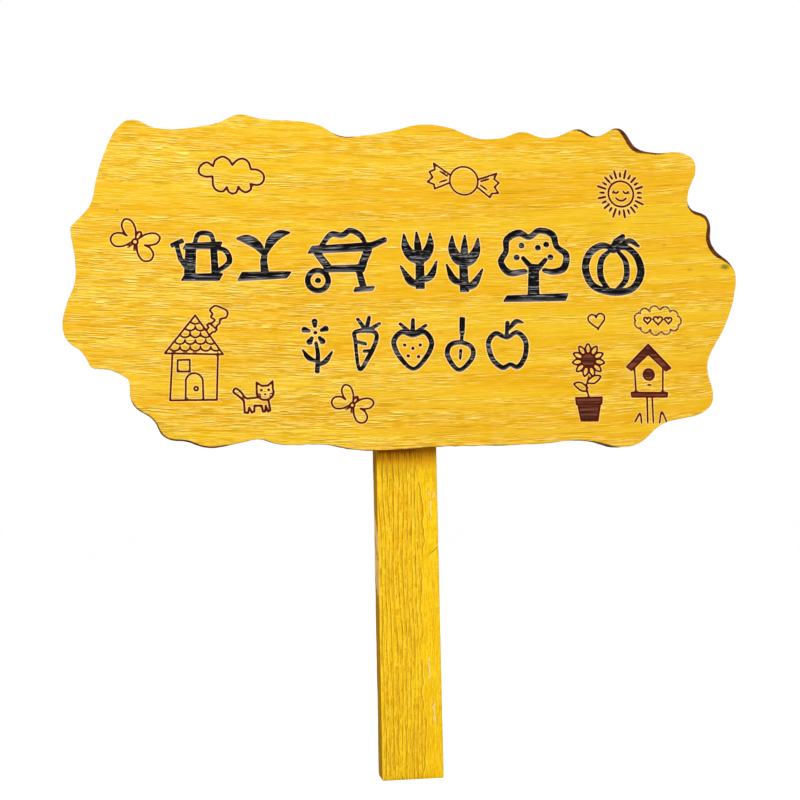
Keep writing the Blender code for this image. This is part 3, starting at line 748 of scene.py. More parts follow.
def roof_tiles(pen, width, height, rows):
    """Rows of scallops inside a gable, each row set off by half a tile."""
    step = height / (rows + 0.6)
    across = step * 1.5
    for row in range(rows):
        top = (row + 1) * step
        count = int(width / 2 * (1 - top / height) / across + 0.5 * (row % 2)) + 1
        for number in range(-count, count + 1):
            x = (number + 0.5 * (row % 2)) * across + 0.4
            scallop = arc(x, top, across / 2, 180, 360, 0.8)
            gable = width / 2 * (1 - scallop[:, 1] / height) - 0.5
            inside = scallop[(scallop[:, 1] > 0.8) & (abs(scallop[:, 0] - 0.4) < gable)]
            if len(inside) > 1:
                pen.line(*inside)


def house(pen):
    """A cottage with a door, a window and a smoking chimney."""
    pen.line((-15.6, 0.4), (-17.4, -33.2), (15.2, -33.0), (16.2, 0.2))
    pen.line((-21.0, 0.2), (0.4, 27.4), (19.8, -0.6), closed=True)
    pen.line((-12.2, -12.8), (-12.0, -4.6), (-3.6, -4.4), (-3.6, -12.8), closed=True)
    pen.line((-6.6, -33), (-6.4, -20), *arc(-0.5, -20, 6.0, 180, 0), (5.8, -33))
    pen.round(0.8, -25.0, 1.4)
    roof_tiles(pen, 40, 27, 5)
    pen.line(
        (8.0, 16.6), (9.8, 18.6), (8.6, 20.6), (10.4, 21.8), (15.6, 17.2), (14.2, 15.6), (12.4, 15.4),
        (10.4, 13.2),
    )
    pen.curve(
        (11.4, 21.4), (14.2, 24), (11.4, 26.2), (12.6, 28.4), (10.8, 31.2), (14.2, 34.2), (18.2, 33.2),
        (23, 30.4), (22.2, 26), (18, 24.8), (17.6, 21.8), (15.8, 20.2), (15.0, 17.8),
    )


def cat(pen):
    """A kitten that walks to the right and looks out of the board."""
    pen.line(
        *arc(7, 4.4, 6.2, 160, 380, 0.88), (13.0, 12.4), (9.4, 9.4), (4.8, 9.4), (1.2, 12.2), (1.0, 6.8),
    )
    pen.curve(
        (2.0, 1.2), (-3.4, 0.8), (-7.4, 1.2), (-10.8, 6.0), (-14.4, 8.6), (-16, 6.0), (-12.6, 3.0),
        (-8.8, -1.0),
    )
    pen.line(
        (-8.8, -1.0), (-8.8, -9.4), (-6.4, -10.0), (-5.2, -6.0), (-3.6, -9.8), (-1.8, -9.2), (-1.4, -4.8),
        (4.0, -5.2),
    )
    pen.line((4.0, -5.2), (4.4, -9.6), (6.2, -9.6), (6.8, -5.4), (8.4, -9.8), (10.0, -9.0), (9.0, -1.0))
    for side in (-1, 1):
        pen.dot(7 + side * 2.7, 6.2, 1.0)
        for whisker in ((3.4, 3.2, 5.6, 3.7), (3.2, 1.7, 5.0, 1.0)):
            start, from_z, end, to_z = whisker
            pen.line((7 + side * start, from_z, 0.4), (7 + side * end, to_z, 0.4))
    pen.dot(7, 3.0, 0.85)


def heart(pen, size):
    angles = np.linspace(0, math.tau, 14, endpoint=False)
    xs = 16 * np.sin(angles) ** 3
    zs = 13 * np.cos(angles) - 5 * np.cos(2 * angles) - 2 * np.cos(3 * angles) - np.cos(4 * angles)
    pen.curve(*np.stack([xs, zs], 1) * size / 32, closed=True)


def potted_flower(pen):
    """A flower in a brown pot."""
    rim = ((-10, -14), (10, -13.6), (9.6, -18.4), (-9.6, -18.8))
    pot = ((-8.6, -18.6), (8.6, -18.2), (6.2, -31), (-6.4, -31))
    for shape in (rim, pot):
        pen.fill(*shape)
        pen.line(*shape, closed=True)
    pen.curve((0.2, -14), (-1.6, -6), (0.6, 2))
    pen.curve((-0.8, -9), (-6, -8.4), (-11, -3.6), (-5.6, -2.6), (-0.6, -6.6))
    pen.curve((-0.4, -3), (5, -3), (9.6, 2), (4.4, 2.4), (0, -0.6))
    pen.fill(*arc(0.6, 14, 5.2))
    pen.round(0.6, 14, 5.4)
    petals = 11
    for number in range(petals):
        angle = math.tau * number / petals
        petal = ((-0.24, 6.2), (-0.2, 9.6), (0, 12.4), (0.2, 9.6), (0.24, 6.2))
        turned = [(angle + turn, reach) for turn, reach in petal]
        pen.curve(*[(math.sin(turn) * reach + 0.6, math.cos(turn) * reach + 14) for turn, reach in turned])


def bird_house(pen):
    """A little house on a pole, with a brown roof."""
    roof = ((-17, 10), (0.4, 27), (17.4, 9), (13.6, 7), (0.2, 19.6), (-13.4, 7.4))
    base = ((-14, -9.2), (14, -9.6), (13.6, -12.6), (-13.8, -12.4))
    for shape in (roof, base):
        pen.fill(*shape)
        pen.line(*shape, closed=True)
    pen.line((-11, 8.6), (-10.4, -9))
    pen.line((10.4, -9.4), (11.2, 8.4))
    pen.fill(*arc(0, 4.2, 4.0))
    pen.round(0, 4.2, 4.2)
    pen.line((-1, -3.6), (1.2, -3.6))
    pen.line((-2, -12.6), (-2.2, -32))
    pen.line((2, -12.6), (2.2, -32))
    pen.curve((-12, -31), (-8, -25), (-7, -32))
    pen.curve((7, -32), (9, -24), (12.5, -31))


def draw_all(carving):
    """Every picture on the board, with its place."""

    def bold(x, z, turn=0.0):
        return Pen(carving, INK, BOLD_WIDTH, x, z, 1.0, turn)

    def fine(x, z, size=1.0, turn=0.0, width=FINE_WIDTH):
        return Pen(carving, LINE, width, x, z, size, turn)

    watering_can(bold(-148, 140.5))
    seedling(bold(-103.5, 141))
    barrow(bold(-46, 138.5))
    tulip(bold(9.5, 138.5, 4), 1)
    tulip(bold(43, 136.5, -3), -1)
    apple_tree(bold(96, 136.5))
    pumpkin(bold(157.5, 136, -4))
    flower(bold(-67, 76.5, 3))
    carrot(bold(-32, 77, -8))
    strawberry(bold(3.5, 77))
    trowel(bold(39, 76.5, -5))
    apple(bold(74, 76, 3))
    cloud(fine(-126.5, 200.4, width=0.76))
    sweet(fine(44.5, 199.3, 1.0, -8))
    sun(fine(165.4, 191.6, width=0.72))
    butterfly(fine(-194.5, 150.5, 0.88, -28))
    butterfly(fine(-41.5, 33, 0.78, -32))
    house(fine(-153.2, 70.4))
    cat(fine(-110.5, 37.8, 0.97, 3, 0.74))
    potted_flower(fine(135, 51))
    bird_house(fine(182, 50))
    heart(fine(143, 95, 1.0, 8), 13)
    speech = [(190.5 + 15 * math.cos(a), 95 + 7.6 * math.sin(a), 3.6) for a in np.arange(11) * math.tau / 11]
    fine(0, 0).puffs(*speech, (190.5, 95, 9), (183, 95, 7), (198, 95, 7))
    for x, size in ((182.5, 5.5), (190.8, 7), (199, 5.5)):
        heart(fine(x, 95.3), size)


# The board's skin


def front_loop():
    """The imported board's outline just behind its front chamfer, in order, in drawing millimetres."""
    shape = bmesh.new()
    shape.from_mesh(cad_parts["board"].data)
    bmesh.ops.remove_doubles(shape, verts=shape.verts, dist=1e-6)
    depths = sorted({round(v.co.y, 5) for v in shape.verts})
    ring = {v for v in shape.verts if abs(v.co.y - depths[1]) < 2e-5}
    here = min(ring, key=lambda v: v.co.x)
    order, last = [here], None
    while True:
        nexts = [e.other_vert(here) for e in here.link_edges if e.other_vert(here) in ring]
        step = next(v for v in nexts if v is not last)
        if step is order[0]:
            break
        order.append(step)
        last, here = here, step
    points = np.array([(v.co.x, v.co.z - BOARD_LOW.z) for v in order]) / MM
    shape.free()
    return points


def even_steps(loop, step):
    """A closed loop with points at even steps, its small corners rounded."""
    closed = np.vstack([loop, loop[0]])
    run = np.concatenate([[0], np.cumsum(np.hypot(*np.diff(closed, axis=0).T))])
    marks = np.linspace(0, run[-1], int(run[-1] / step), endpoint=False)
    even = np.stack([np.interp(marks, run, closed[:, axis]) for axis in (0, 1)], 1)
    for _ in range(4):
        even = (even + (np.roll(even, 1, 0) + np.roll(even, -1, 0)) / 2) / 2
    return even


def level_line(grid, values, level):
    """Points and edges where a grid's values cross a level."""
    lifted = values - level
    above = lifted > 0
    points, numbers = [], []
    for axis in (0, 1):
        low, high = [slice(None), slice(None)], [slice(None), slice(None)]
        low[axis], high[axis] = slice(None, -1), slice(1, None)
        low, high = tuple(low), tuple(high)
        crossed = above[low] != above[high]
        ids = np.full(crossed.shape, -1)
        ids[crossed] = np.arange(crossed.sum()) + sum(map(len, points))
        i, j = np.nonzero(crossed)
        share = np.clip(lifted[low][crossed] / (lifted[low][crossed] - lifted[high][crossed]), 0.1, 0.9)
        steps = (share * GRID_STEP, 0) if axis == 0 else (0, share * GRID_STEP)
        points.append(np.stack([grid.xs[i] + steps[0], grid.zs[j] + steps[1]], 1))
        numbers.append(ids)
    along, up = numbers
    sides = np.stack([along[:, :-1], up[1:], along[:, 1:], up[:-1]], -1).reshape(-1, 4)
    count = (sides >= 0).sum(1)
    single = sides[count == 2]
    edges = single[single >= 0].reshape(-1, 2)
    saddles = sides[count == 4]
    return np.vstack(points), np.vstack([edges, saddles[:, [0, 3]], saddles[:, [1, 2]]])


def triangulate(loop, rings, loose):
    """Triangles inside a loop that keep the rings' edges. The loop's points come first, in order."""
    count = len(loop)
    edges = [(i, (i + 1) % count) for i in range(count)]
    points = [loop]
    for ring_points, ring_edges in rings:
        base = sum(map(len, points))
        points.append(ring_points)
        edges += (ring_edges + base).tolist()
    points = np.vstack([*points, loose])
    found, _, faces, origins, _, _ = delaunay_2d_cdt([Vector(p) for p in points.tolist()], edges, [], 1, 1e-5)
    found = np.array([tuple(p) for p in found])
    first = {}
    for number, sources in enumerate(origins):
        for source in sources:
            if source < count:
                first[source] = number
    faces = np.array(faces)
    order = [first[i] for i in range(count)]
    order += sorted(set(np.unique(faces).tolist()) - set(order))
    place = np.full(len(found), -1)
    place[order] = np.arange(len(order))
    return found[order], place[faces]


def outward_of(loop):
    """The way out of an outline at each of its points."""
    ahead = np.roll(loop, -2, 0) - np.roll(loop, 2, 0)
    outward = np.stack([-ahead[:, 1], ahead[:, 0]], 1) / np.hypot(*ahead.T)[:, None]
    area = np.sum(loop[:, 0] * np.roll(loop[:, 1], -1) - np.roll(loop[:, 0], -1) * loop[:, 1])
    return outward * -np.sign(area)


def evened(values, times):
    for _ in range(times):
        values = (np.roll(values, 1) + values + np.roll(values, -1)) / 3
    return values


def lean_of(loop):
    """How much each point of the outline leans back, 0 to 1, and how much it is undercut, 0 to 1."""
    outward = outward_of(loop)
    height = (loop[:, 1] - loop[:, 1].min()) / np.ptp(loop[:, 1])
    back = np.zeros(len(loop))
    for x, z, reach, share in LEANS:
        near = 1 - np.hypot(loop[:, 0] - x, loop[:, 1] - z) / reach
        back = np.maximum(back, np.clip(near * 2, 0, 1) * share)
    under = np.clip(-outward[:, 1] + np.clip(-outward[:, 0], 0, 1) * 0.5, 0, 1) * np.clip(1 - back * 3, 0, 1)
    return evened(back, 5), evened(under * np.clip(0.15 + 2.2 * height, 0, 1), 8)


class Rim(Grid):
    """The board's outline, how far inside it each place lies, and the width of its chamfer."""

    def __init__(self, sizes):
        self.loop = even_steps(front_loop(), RIM_STEP)
        super().__init__(self.loop.min(0) - 1, self.loop.max(0) + 1)
        lean, under = lean_of(self.loop)
        self.least = sizes.chamfer / MM
        self.chamfer = (sizes.chamfer + sizes.lean * lean) / MM
        self.back_loop = self.loop - outward_of(self.loop) * under[:, None] * sizes.undercut / MM
        distance = np.full(self.shape, FAR * 2)
        width = np.zeros(self.shape)
        crossings = np.zeros(self.shape, int)
        for start, end, wide in zip(self.loop, np.roll(self.loop, -1, 0), self.chamfer):
            view, gx, gz = self.window(np.array([start, end]), FAR * 2)
            reach = from_segment(gx, gz, start, end)[0]
            nearer = reach < distance[view]
            distance[view][nearer] = reach[nearer]
            width[view][nearer] = wide
            between = slice(*np.searchsorted(self.xs, sorted((start[0], end[0]))))
            if between.start < between.stop:
                (ax, az), (bx, bz) = start, end
                heights = az + (self.xs[between] - ax) / (bx - ax) * (bz - az)
                crossings[between] += self.zs[None, :] > heights[:, None]
        self.distance = np.where(crossings % 2 == 1, distance, -distance)
        self.face = np.where(self.distance < FAR * 2, self.distance - width, FAR * 2)
        self.lean = (width - self.least) / (sizes.lean / MM)


def carved_rings(rim, carving):
    """The lines that the face's triangles keep: the edges of its chamfer and of every stroke."""
    levels = [(rim.face, 0.0), *((carving.within[finish], 0.0) for finish in FINISHES)]
    levels += [(carving.within[INK], -0.4), (carving.within[INK], 0.7)]
    rings = []
    for values, level in levels:
        points, edges = level_line(rim, values, level)
        clear = rim.read(rim.distance, points) > 0.15
        rings.append((points, edges[clear[edges].all(1)]))
    return rings


def loose_points(rim, carving):
    """Points between the rings: dense in the bold strokes and patches, wide elsewhere."""

    def depths_at(points):
        return [rim.read(carving.within[finish], points) for finish in FINISHES]

    dense = rim.lattice(1.3, 0.55)
    ink, line, patch = depths_at(dense)
    dense = dense[(ink > 1.0) | ((patch > 0.4) & (line < -0.3))]
    wide = rim.lattice(4.0, 1.5)
    ink, line, patch = depths_at(wide)
    wide = wide[(ink < -0.8) & (line < -0.6) & (patch < -0.6) & (rim.read(rim.face, wide) > 0.7)]
    spines = np.array(carving.spines)
    ink, _, patch = depths_at(spines)
    return np.vstack([dense, wide, spines[(ink < -0.5) & (patch < 0)], midways(rim, carving)])


def midways(rim, carving):
    """Points halfway between neighbouring strokes, where the distance to both is the same."""
    found = []
    for within in carving.within.values():
        slope = np.hypot(*np.gradient(within, GRID_STEP))
        i, j = np.nonzero((slope < 0.8) & (within < -0.25) & (within > -2.6))
        thin = (i + j) % 2 == 0
        found.append(np.stack([rim.xs[i[thin]], rim.zs[j[thin]]], 1))
    found = np.vstack(found)
    clear = rim.read(rim.face, found) > 0.4
    for within in carving.within.values():
        clear &= abs(rim.read(within, found)) > 0.2
    return found[clear]


def carved_front(rim, carving):
    """The face: its corners, its triangles, and what the finish reads at each corner."""
    points, faces = triangulate(rim.loop, carved_rings(rim, carving), loose_points(rim, carving))
    inside = rim.read(rim.face, points)
    inside[: len(rim.loop)] = -rim.chamfer
    slant = np.clip(-inside, 0, None)
    slopes = np.minimum(slant, rim.least) * CHAMFER_SLOPE + slant * LEAN_SLOPE
    depth = rim.read(carving.depth, points) + slopes
    corners = np.stack([points[:, 0], BOARD_LOW.y / MM + depth, points[:, 1]], 1)
    values = {finish: rim.read(carving.within[finish], points) for finish in FINISHES}
    at_rim = np.arange(len(points)) < len(rim.loop)
    values |= {"rim": inside, "lean": rim.read(rim.lean, points)}
    values |= {"side": at_rim * 0.5, "facing": 1.0 - at_rim}
    return corners, faces, values


def board_skin(sizes):
    """The whole board as one closed mesh with what its finish reads."""
    rim = Rim(sizes)
    carving = Carving(rim, sizes)
    draw_all(carving)
    front, faces, values = carved_front(rim, carving)
    points, back_faces, inside, mouths = board_back(rim)
    depth = BOARD_HIGH.y / MM - np.clip(BACK_CHAMFER - inside, 0, BACK_CHAMFER)
    back = np.stack([points[:, 0], depth, points[:, 1]], 1)
    count, first, last = len(rim.loop), len(front), len(front) + len(back)
    through = back[:count] - front[:count]
    wall_corners = [front[:count] + through * row / WALL_ROWS for row in range(1, WALL_ROWS)]
    corners = np.vstack([front, back, *wall_corners])
    rows = [0, *range(last, len(corners), count), first]
    ring = np.stack([np.arange(count), np.roll(np.arange(count), -1)], 1)
    walls = [np.hstack([ring + near, ring[:, ::-1] + far]) for near, far in zip(rows, rows[1:])]
    floors, hole_faces = pilot_holes(mouths, corners, first)
    corners = np.vstack([corners, *floors])
    polygons = np.vstack([faces, back_faces[:, ::-1] + first]).tolist()
    polygons += np.vstack(walls).tolist() + hole_faces
    on_walls = {"side": 1.0, "lean": 0.0, "facing": 0.0}
    on_back = {"rim": inside[count:] - BACK_CHAMFER, "side": 0.0, "facing": -1.0}
    mesh = bpy.data.meshes.new("board_skin")
    mesh.from_pydata((corners * MM + np.array([0, 0, BOARD_LOW.z])).tolist(), [], polygons)
    for name, on_front in values.items():
        column = np.full(len(corners), on_walls.get(name, -FAR))
        column[:first] = on_front
        if name in on_back:
            column[first + count : last] = on_back[name]
        mesh.attributes.new(name, "FLOAT", "POINT").data.foreach_set("value", column.astype(np.float32))
    fix = bmesh.new()
    fix.from_mesh(mesh)
    bmesh.ops.recalc_face_normals(fix, faces=fix.faces)
    fix.to_mesh(mesh)
    fix.free()
    return mesh


def screw_centres():
    """Middle of each screw's head, on the plane of its top, in metres."""
    for name in SCREW_NAMES:
        low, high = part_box(name)
        yield Vector(((low.x + high.x) / 2, high.y, (low.z + high.z) / 2))


def board_back(rim):
    """The flat back: its points, its triangles, how far inside the rim they lie, and its open mouths."""
    angles = np.arange(HOLE_SIDES) * math.tau / HOLE_SIDES
    circle = HOLE_RADIUS * np.stack([np.cos(angles), np.sin(angles)], 1)
    middles = [np.array([centre.x / MM, (centre.z - BOARD_LOW.z) / MM]) for centre in screw_centres()]
    ring = np.stack([np.arange(HOLE_SIDES), np.roll(np.arange(HOLE_SIDES), -1)], 1)
    grid = rim.lattice(4.5, 2.4)
    keep = rim.read(rim.distance, grid) > BACK_MARGIN
    for middle in middles:
        keep &= np.hypot(*(grid - middle).T) > HOLE_RADIUS + 1.0
    points, faces = triangulate(rim.back_loop, [(middle + circle, ring) for middle in middles], grid[keep])
    open_faces = np.zeros(len(faces), bool)
    mouths = []
    for middle in middles:
        open_faces |= np.hypot(*(points[faces].mean(1) - middle).T) < HOLE_RADIUS * 0.98
        mouths.append([int(np.argmin(np.hypot(*(points - corner).T))) for corner in middle + circle])
    inside = rim.read(rim.distance, points)
    inside[: len(rim.loop)] = 0
    return points, faces[~open_faces], inside, mouths


def pilot_holes(mouths, corners, first):
    """Blind holes behind the mouths in the back: the corners of their floors, and their faces."""
    floors, walls, caps = [], [], []
    for number, mouth in enumerate(mouths):
        mouth = [corner + first for corner in mouth]
        floors.append(corners[mouth] - np.array([0, HOLE_DEPTH, 0]))
        start = len(corners) + number * HOLE_SIDES
        deep = list(range(start, start + HOLE_SIDES))
        walls += map(list, zip(mouth, mouth[1:] + mouth[:1], deep[1:] + deep[:1], deep))
        caps.append(deep)
    return floors, walls + caps


# Finishes


def raised(tree, along, across, deep, step):
    """Fine raised grain: its height, and how much of it turns upwards, from -1 to 1."""
    here = tree.noise(along, across, deep, 2, 0.6)
    above = tree.noise(along, across + step, deep, 2, 0.6)
    return here, (here - above) * 5


def board_wood(tree, x, y, z, tints):
    """Brushed and stained straight grain along x: its colour, with painted light and shade on the raised
    fibres, and its height from 0 to 1.
    """
    bow = (x + 30) * (x + 30) / 8500
    drift = tree.noise(x / 120, y / 40, z / 45, 1) * 6.5 + tree.noise(x / 38, y / 14, z / 12, 1) * 0.5
    grain = z + drift - bow
    broad = tree.noise(x / 300, y / 30, grain / 17, 2, 0.55)
    band = tree.noise(x / 110, y / 20, grain / 7, 2)
    streak = tree.noise(x / 80, y / 5, grain / 0.9, 2, 0.6)
    fibre, lit = raised(tree, x / 11, y / 2, grain / 0.55, 0.6)
    coarse = x.rise(80.0, -90.0) * 0.4 + x.rise(-20.0, -120.0) * z.rise(390.0, 340.0) * 0.3 + 0.8
    ragged = band.rise(0.42, 0.60)
    lit = lit * (0.35 + ragged * 0.65) * coarse
    # The pale dashes are painted highlights on raised fibres, and the dark line just below each is painted
    # shade
    highlight_dashes, shade = [
        tree.noise(x / 19, y / 4, (grain + step) / 0.7 + 50, 1).rise(0.58, 0.64)
        * (0.2 + ragged * 0.8)
        * coarse
        for step in (0, 0.65)
    ]
    threads = tree.noise(x / 50, y / 6, grain / 0.85 + 90, 2).rise(0.63, 0.71) * band.rise(0.62, 0.42)
    tone = tree.blend(broad.rise(0.38, 0.60) * 0.85, tints.amber, tints.amber_warm)
    for share, tint in (
        (streak.rise(0.56, 0.34) * 0.12, tints.amber_deep_and_shade),
        (streak.rise(0.52, 0.72) * 0.14, tints.amber_pale_and_highlight),
        # Painted shade where the raised fibres face down, and painted highlight where they face up
        (lit.rise(0.0, -0.8) * 0.42, tints.amber_deep_and_shade),
        (lit.rise(0.0, 0.8) * 0.58, tints.amber_pale_and_highlight),
        ((shade - highlight_dashes).most(0) * 0.62, tints.amber_deep_and_shade),
        (highlight_dashes * 0.95, tints.amber_pale_and_highlight),
        (threads * 0.60, tints.amber_deep_and_shade),
    ):
        tone = tree.blend(share, tone, tint)
    return tone, streak * 0.3 + fibre * 0.4 + highlight_dashes * 0.4 - threads * 0.3


def knots(tree, tone, x, z, deep):
    """Small dark knots and pin holes in the board's face."""
    for knot_x, knot_z, size, strength in KNOTS:
        apart = ((x - knot_x) * (x - knot_x) / 3 + (z - knot_z) * (z - knot_z)).root()
        edge = tree.noise(x / 1.2, z / 0.8, knot_x, 2) * size
        tone = tree.blend((apart + edge).rise(size * 1.6, size * 0.8) * strength, tone, deep)
    return tone


def board_finish(tints):
    """Amber stain, a dark sawn rim, black paint in the bold strokes and burnt fine lines, with painted
    highlights and shade on the strokes' walls and grain.
    """
    tree = Finish("stained_board", tints.amber)
    x, y, z = tree.place()
    up = tree.split(tree.add("ShaderNodeNewGeometry", output="Normal"))[2]
    tone, height = board_wood(tree, x, y, z, tints)
    tone = knots(tree, tone, x, z - BOARD_LOW.z / MM, tints.knot)
    wander = tree.noise(x / 2.2, y / 2.2, z / 1.3, 2) - 0.5
    ink, line, patch, rim, lean, side = map(tree.attribute, (*FINISHES, "rim", "lean", "side"))
    # Scorched stain beside the strokes, and a pale ring along their edges: paler wood with a painted
    # highlight on the eased arris
    smear = tree.noise(x / 9, y / 9, z / 5, 2).rise(0.40, 0.62)
    tone = tree.blend(ink.rise(-3.8, -0.6) * smear * 0.45, tone, tints.smear)
    highlight_and_pale_wood = (ink.rise(-0.85, -0.35) * 0.75).most(line.rise(-1.0, -0.35) * 0.45)
    tone = tree.blend(highlight_and_pale_wood, tone, tints.highlight_and_pale_wood)
    # The sawn rim
    sawn = tree.noise(x / 30, y / 3.2, z / 2.4, 3, 0.6)
    dark = (rim + wander * 0.8).rise(0.25, -0.25) * (lean + wander * 0.1).rise(0.02, 0.11)
    dark = dark.most(side.rise(0.55, 0.95))
    tone = tree.blend(dark, tone, tree.blend(sawn.rise(0.30, 0.70), tints.edge, tints.edge_worn))
    # Filled patches and fine lines
    figure = tree.noise(x / 34, y / 8, z / 1.3, 1)
    patch_share = (patch + wander * 0.25).rise(-0.08, 0.10)
    tone = tree.blend(patch_share, tone, tree.blend(figure.rise(0.38, 0.62), tints.edge, tints.patch))
    line_share = (line + wander * 0.15).rise(-0.12, 0.04)
    # Painted highlight on the upward-facing walls of the fine lines
    tone = tree.blend(line_share, tone, tree.blend(up.rise(0.2, 0.6) * 0.5, tints.line, tints.line_lit))
    # Paint in the bold strokes, with painted highlights on the grain ridges inside them and on their
    # upward-facing walls, and painted shade on their downward-facing walls
    ink_share = (ink + wander * 0.30).rise(-0.10, 0.08)
    ridge = abs(figure - 0.5).rise(0.050, 0.012) * tree.noise(x / 14, y / 5, z / 4, 1).rise(0.38, 0.55)
    # Painted highlight on walls that face up, more where the grain stands out
    lower = up.rise(0.30, 0.70) * (0.15 + figure.rise(0.40, 0.65) * 0.35)
    painted = tree.blend(lower.most(ridge * 0.8), tints.paint, tints.painted_highlight_on_paint)
    # Painted shade: the dark rim colour on walls that face down, near the edge
    painted = tree.blend(up.rise(0.0, -0.3) * ink.rise(0.8, 0.2) * 0.8, painted, tints.edge)
    # Painted highlight near the edge on the walls that face up
    painted = tree.blend(up.rise(0.30, 0.60) * ink.rise(0.7, 0.1) * 0.8, painted, tints.painted_highlight_on_walls)
    tone = tree.blend(ink_share, tone, painted)
    rough = tree.between(dark, 0.55, 0.65)
    rough = tree.between(patch_share.most(line_share), rough, 0.45)
    rough = tree.between(ink_share, rough, 0.34 + figure * 0.16)
    normal = tree.relief(height + ink_share * figure * 1.6, 0.00022)
    return tree.wear(Base_Color=tone, Roughness=rough, Normal=normal, Specular_IOR_Level=0.03)


def ring_grooves(tree, x, y, z, pitch):
    """The stake's growth rings by millimetres: 1 in a groove, and where the wood lies quiet."""
    flow = tree.noise(x / 18, y / 18, z / 75, 1) * 6 + tree.noise(x / 8, y / 8, z / 17, 1) * 1.0
    from_pith = ((x + 70) * (x + 70) + (y - 34) * (y - 34)).root()
    turn = ((from_pith + flow) / pitch).fraction()
    strong = tree.noise(x / 3, y / 5, z / 18, 2).rise(0.34, 0.58)
    reach = x + (tree.noise(x / 40, y / 40, z / 26, 2) - 0.5) * 16
    quiet = reach.rise(5.5, 10.0)
    groove = turn.rise(0.60, 0.86) * turn.rise(1.0, 0.94) * (0.3 + strong * 0.7) * (1 - quiet * 0.85)
    seam = abs(reach - 9).rise(0.75, 0.25) * tree.noise(3.0, y / 30, z / 20, 1).rise(0.40, 0.50)
    slit = z - 162.2 - (x - 16.0) * 0.81 + tree.noise(x / 1.8, y / 5, 0.5, 2) * 2.0
    slit = abs(slit).rise(0.95, 0.35) * x.rise(14.5, 16.0)
    return groove.most(seam * 0.9).most(slit), quiet


def stake_wood(tree, x, y, z, tints):
    """Coarse brushed grain along z: its colour, with painted light and shade on the raised fibres, and its
    height from 0 to 1.
    """
    drift = tree.noise(x / 16, y / 16, z / 70, 1) * 6 + tree.noise(x / 5, y / 5, z / 14, 1) * 0.8
    grain = x + y * 0.7 + drift
    broad = tree.noise(grain / 8, y / 20, z / 60, 2)
    streak = tree.noise(grain / 1.2, y / 5, z / 40, 2, 0.6)
    fibre, lit = raised(tree, z / 7, y / 2, grain / 0.8, 0.5)
    flecks = tree.noise(z / 3.2, y / 2, grain / 0.7 + 40, 1).rise(0.60, 0.70)
    pits = tree.noise(z / 2.6, y / 2, grain / 0.65 + 80, 1).rise(0.62, 0.72)
    tone = tree.blend(broad.rise(0.36, 0.62) * 0.5, tints.stake, tints.stake_warm)
    for share, tint in (
        (streak.rise(0.56, 0.34) * 0.40, tints.stake_deep_and_shade),
        # Painted shade and painted highlight on the raised fibres, by which way they face
        (lit.rise(0.0, 0.8) * 0.48, tints.stake_deep_and_shade),
        (lit.rise(0.0, -0.8) * 0.52, tints.stake_pale_and_highlight),
        (pits * 0.55, tints.stake_deep_and_shade),
        (flecks * 0.80, tints.stake_pale_and_highlight),
    ):
        tone = tree.blend(share, tone, tint)
    return tone, streak * 0.3 + fibre * 0.5 + flecks * 0.3 - pits * 0.3


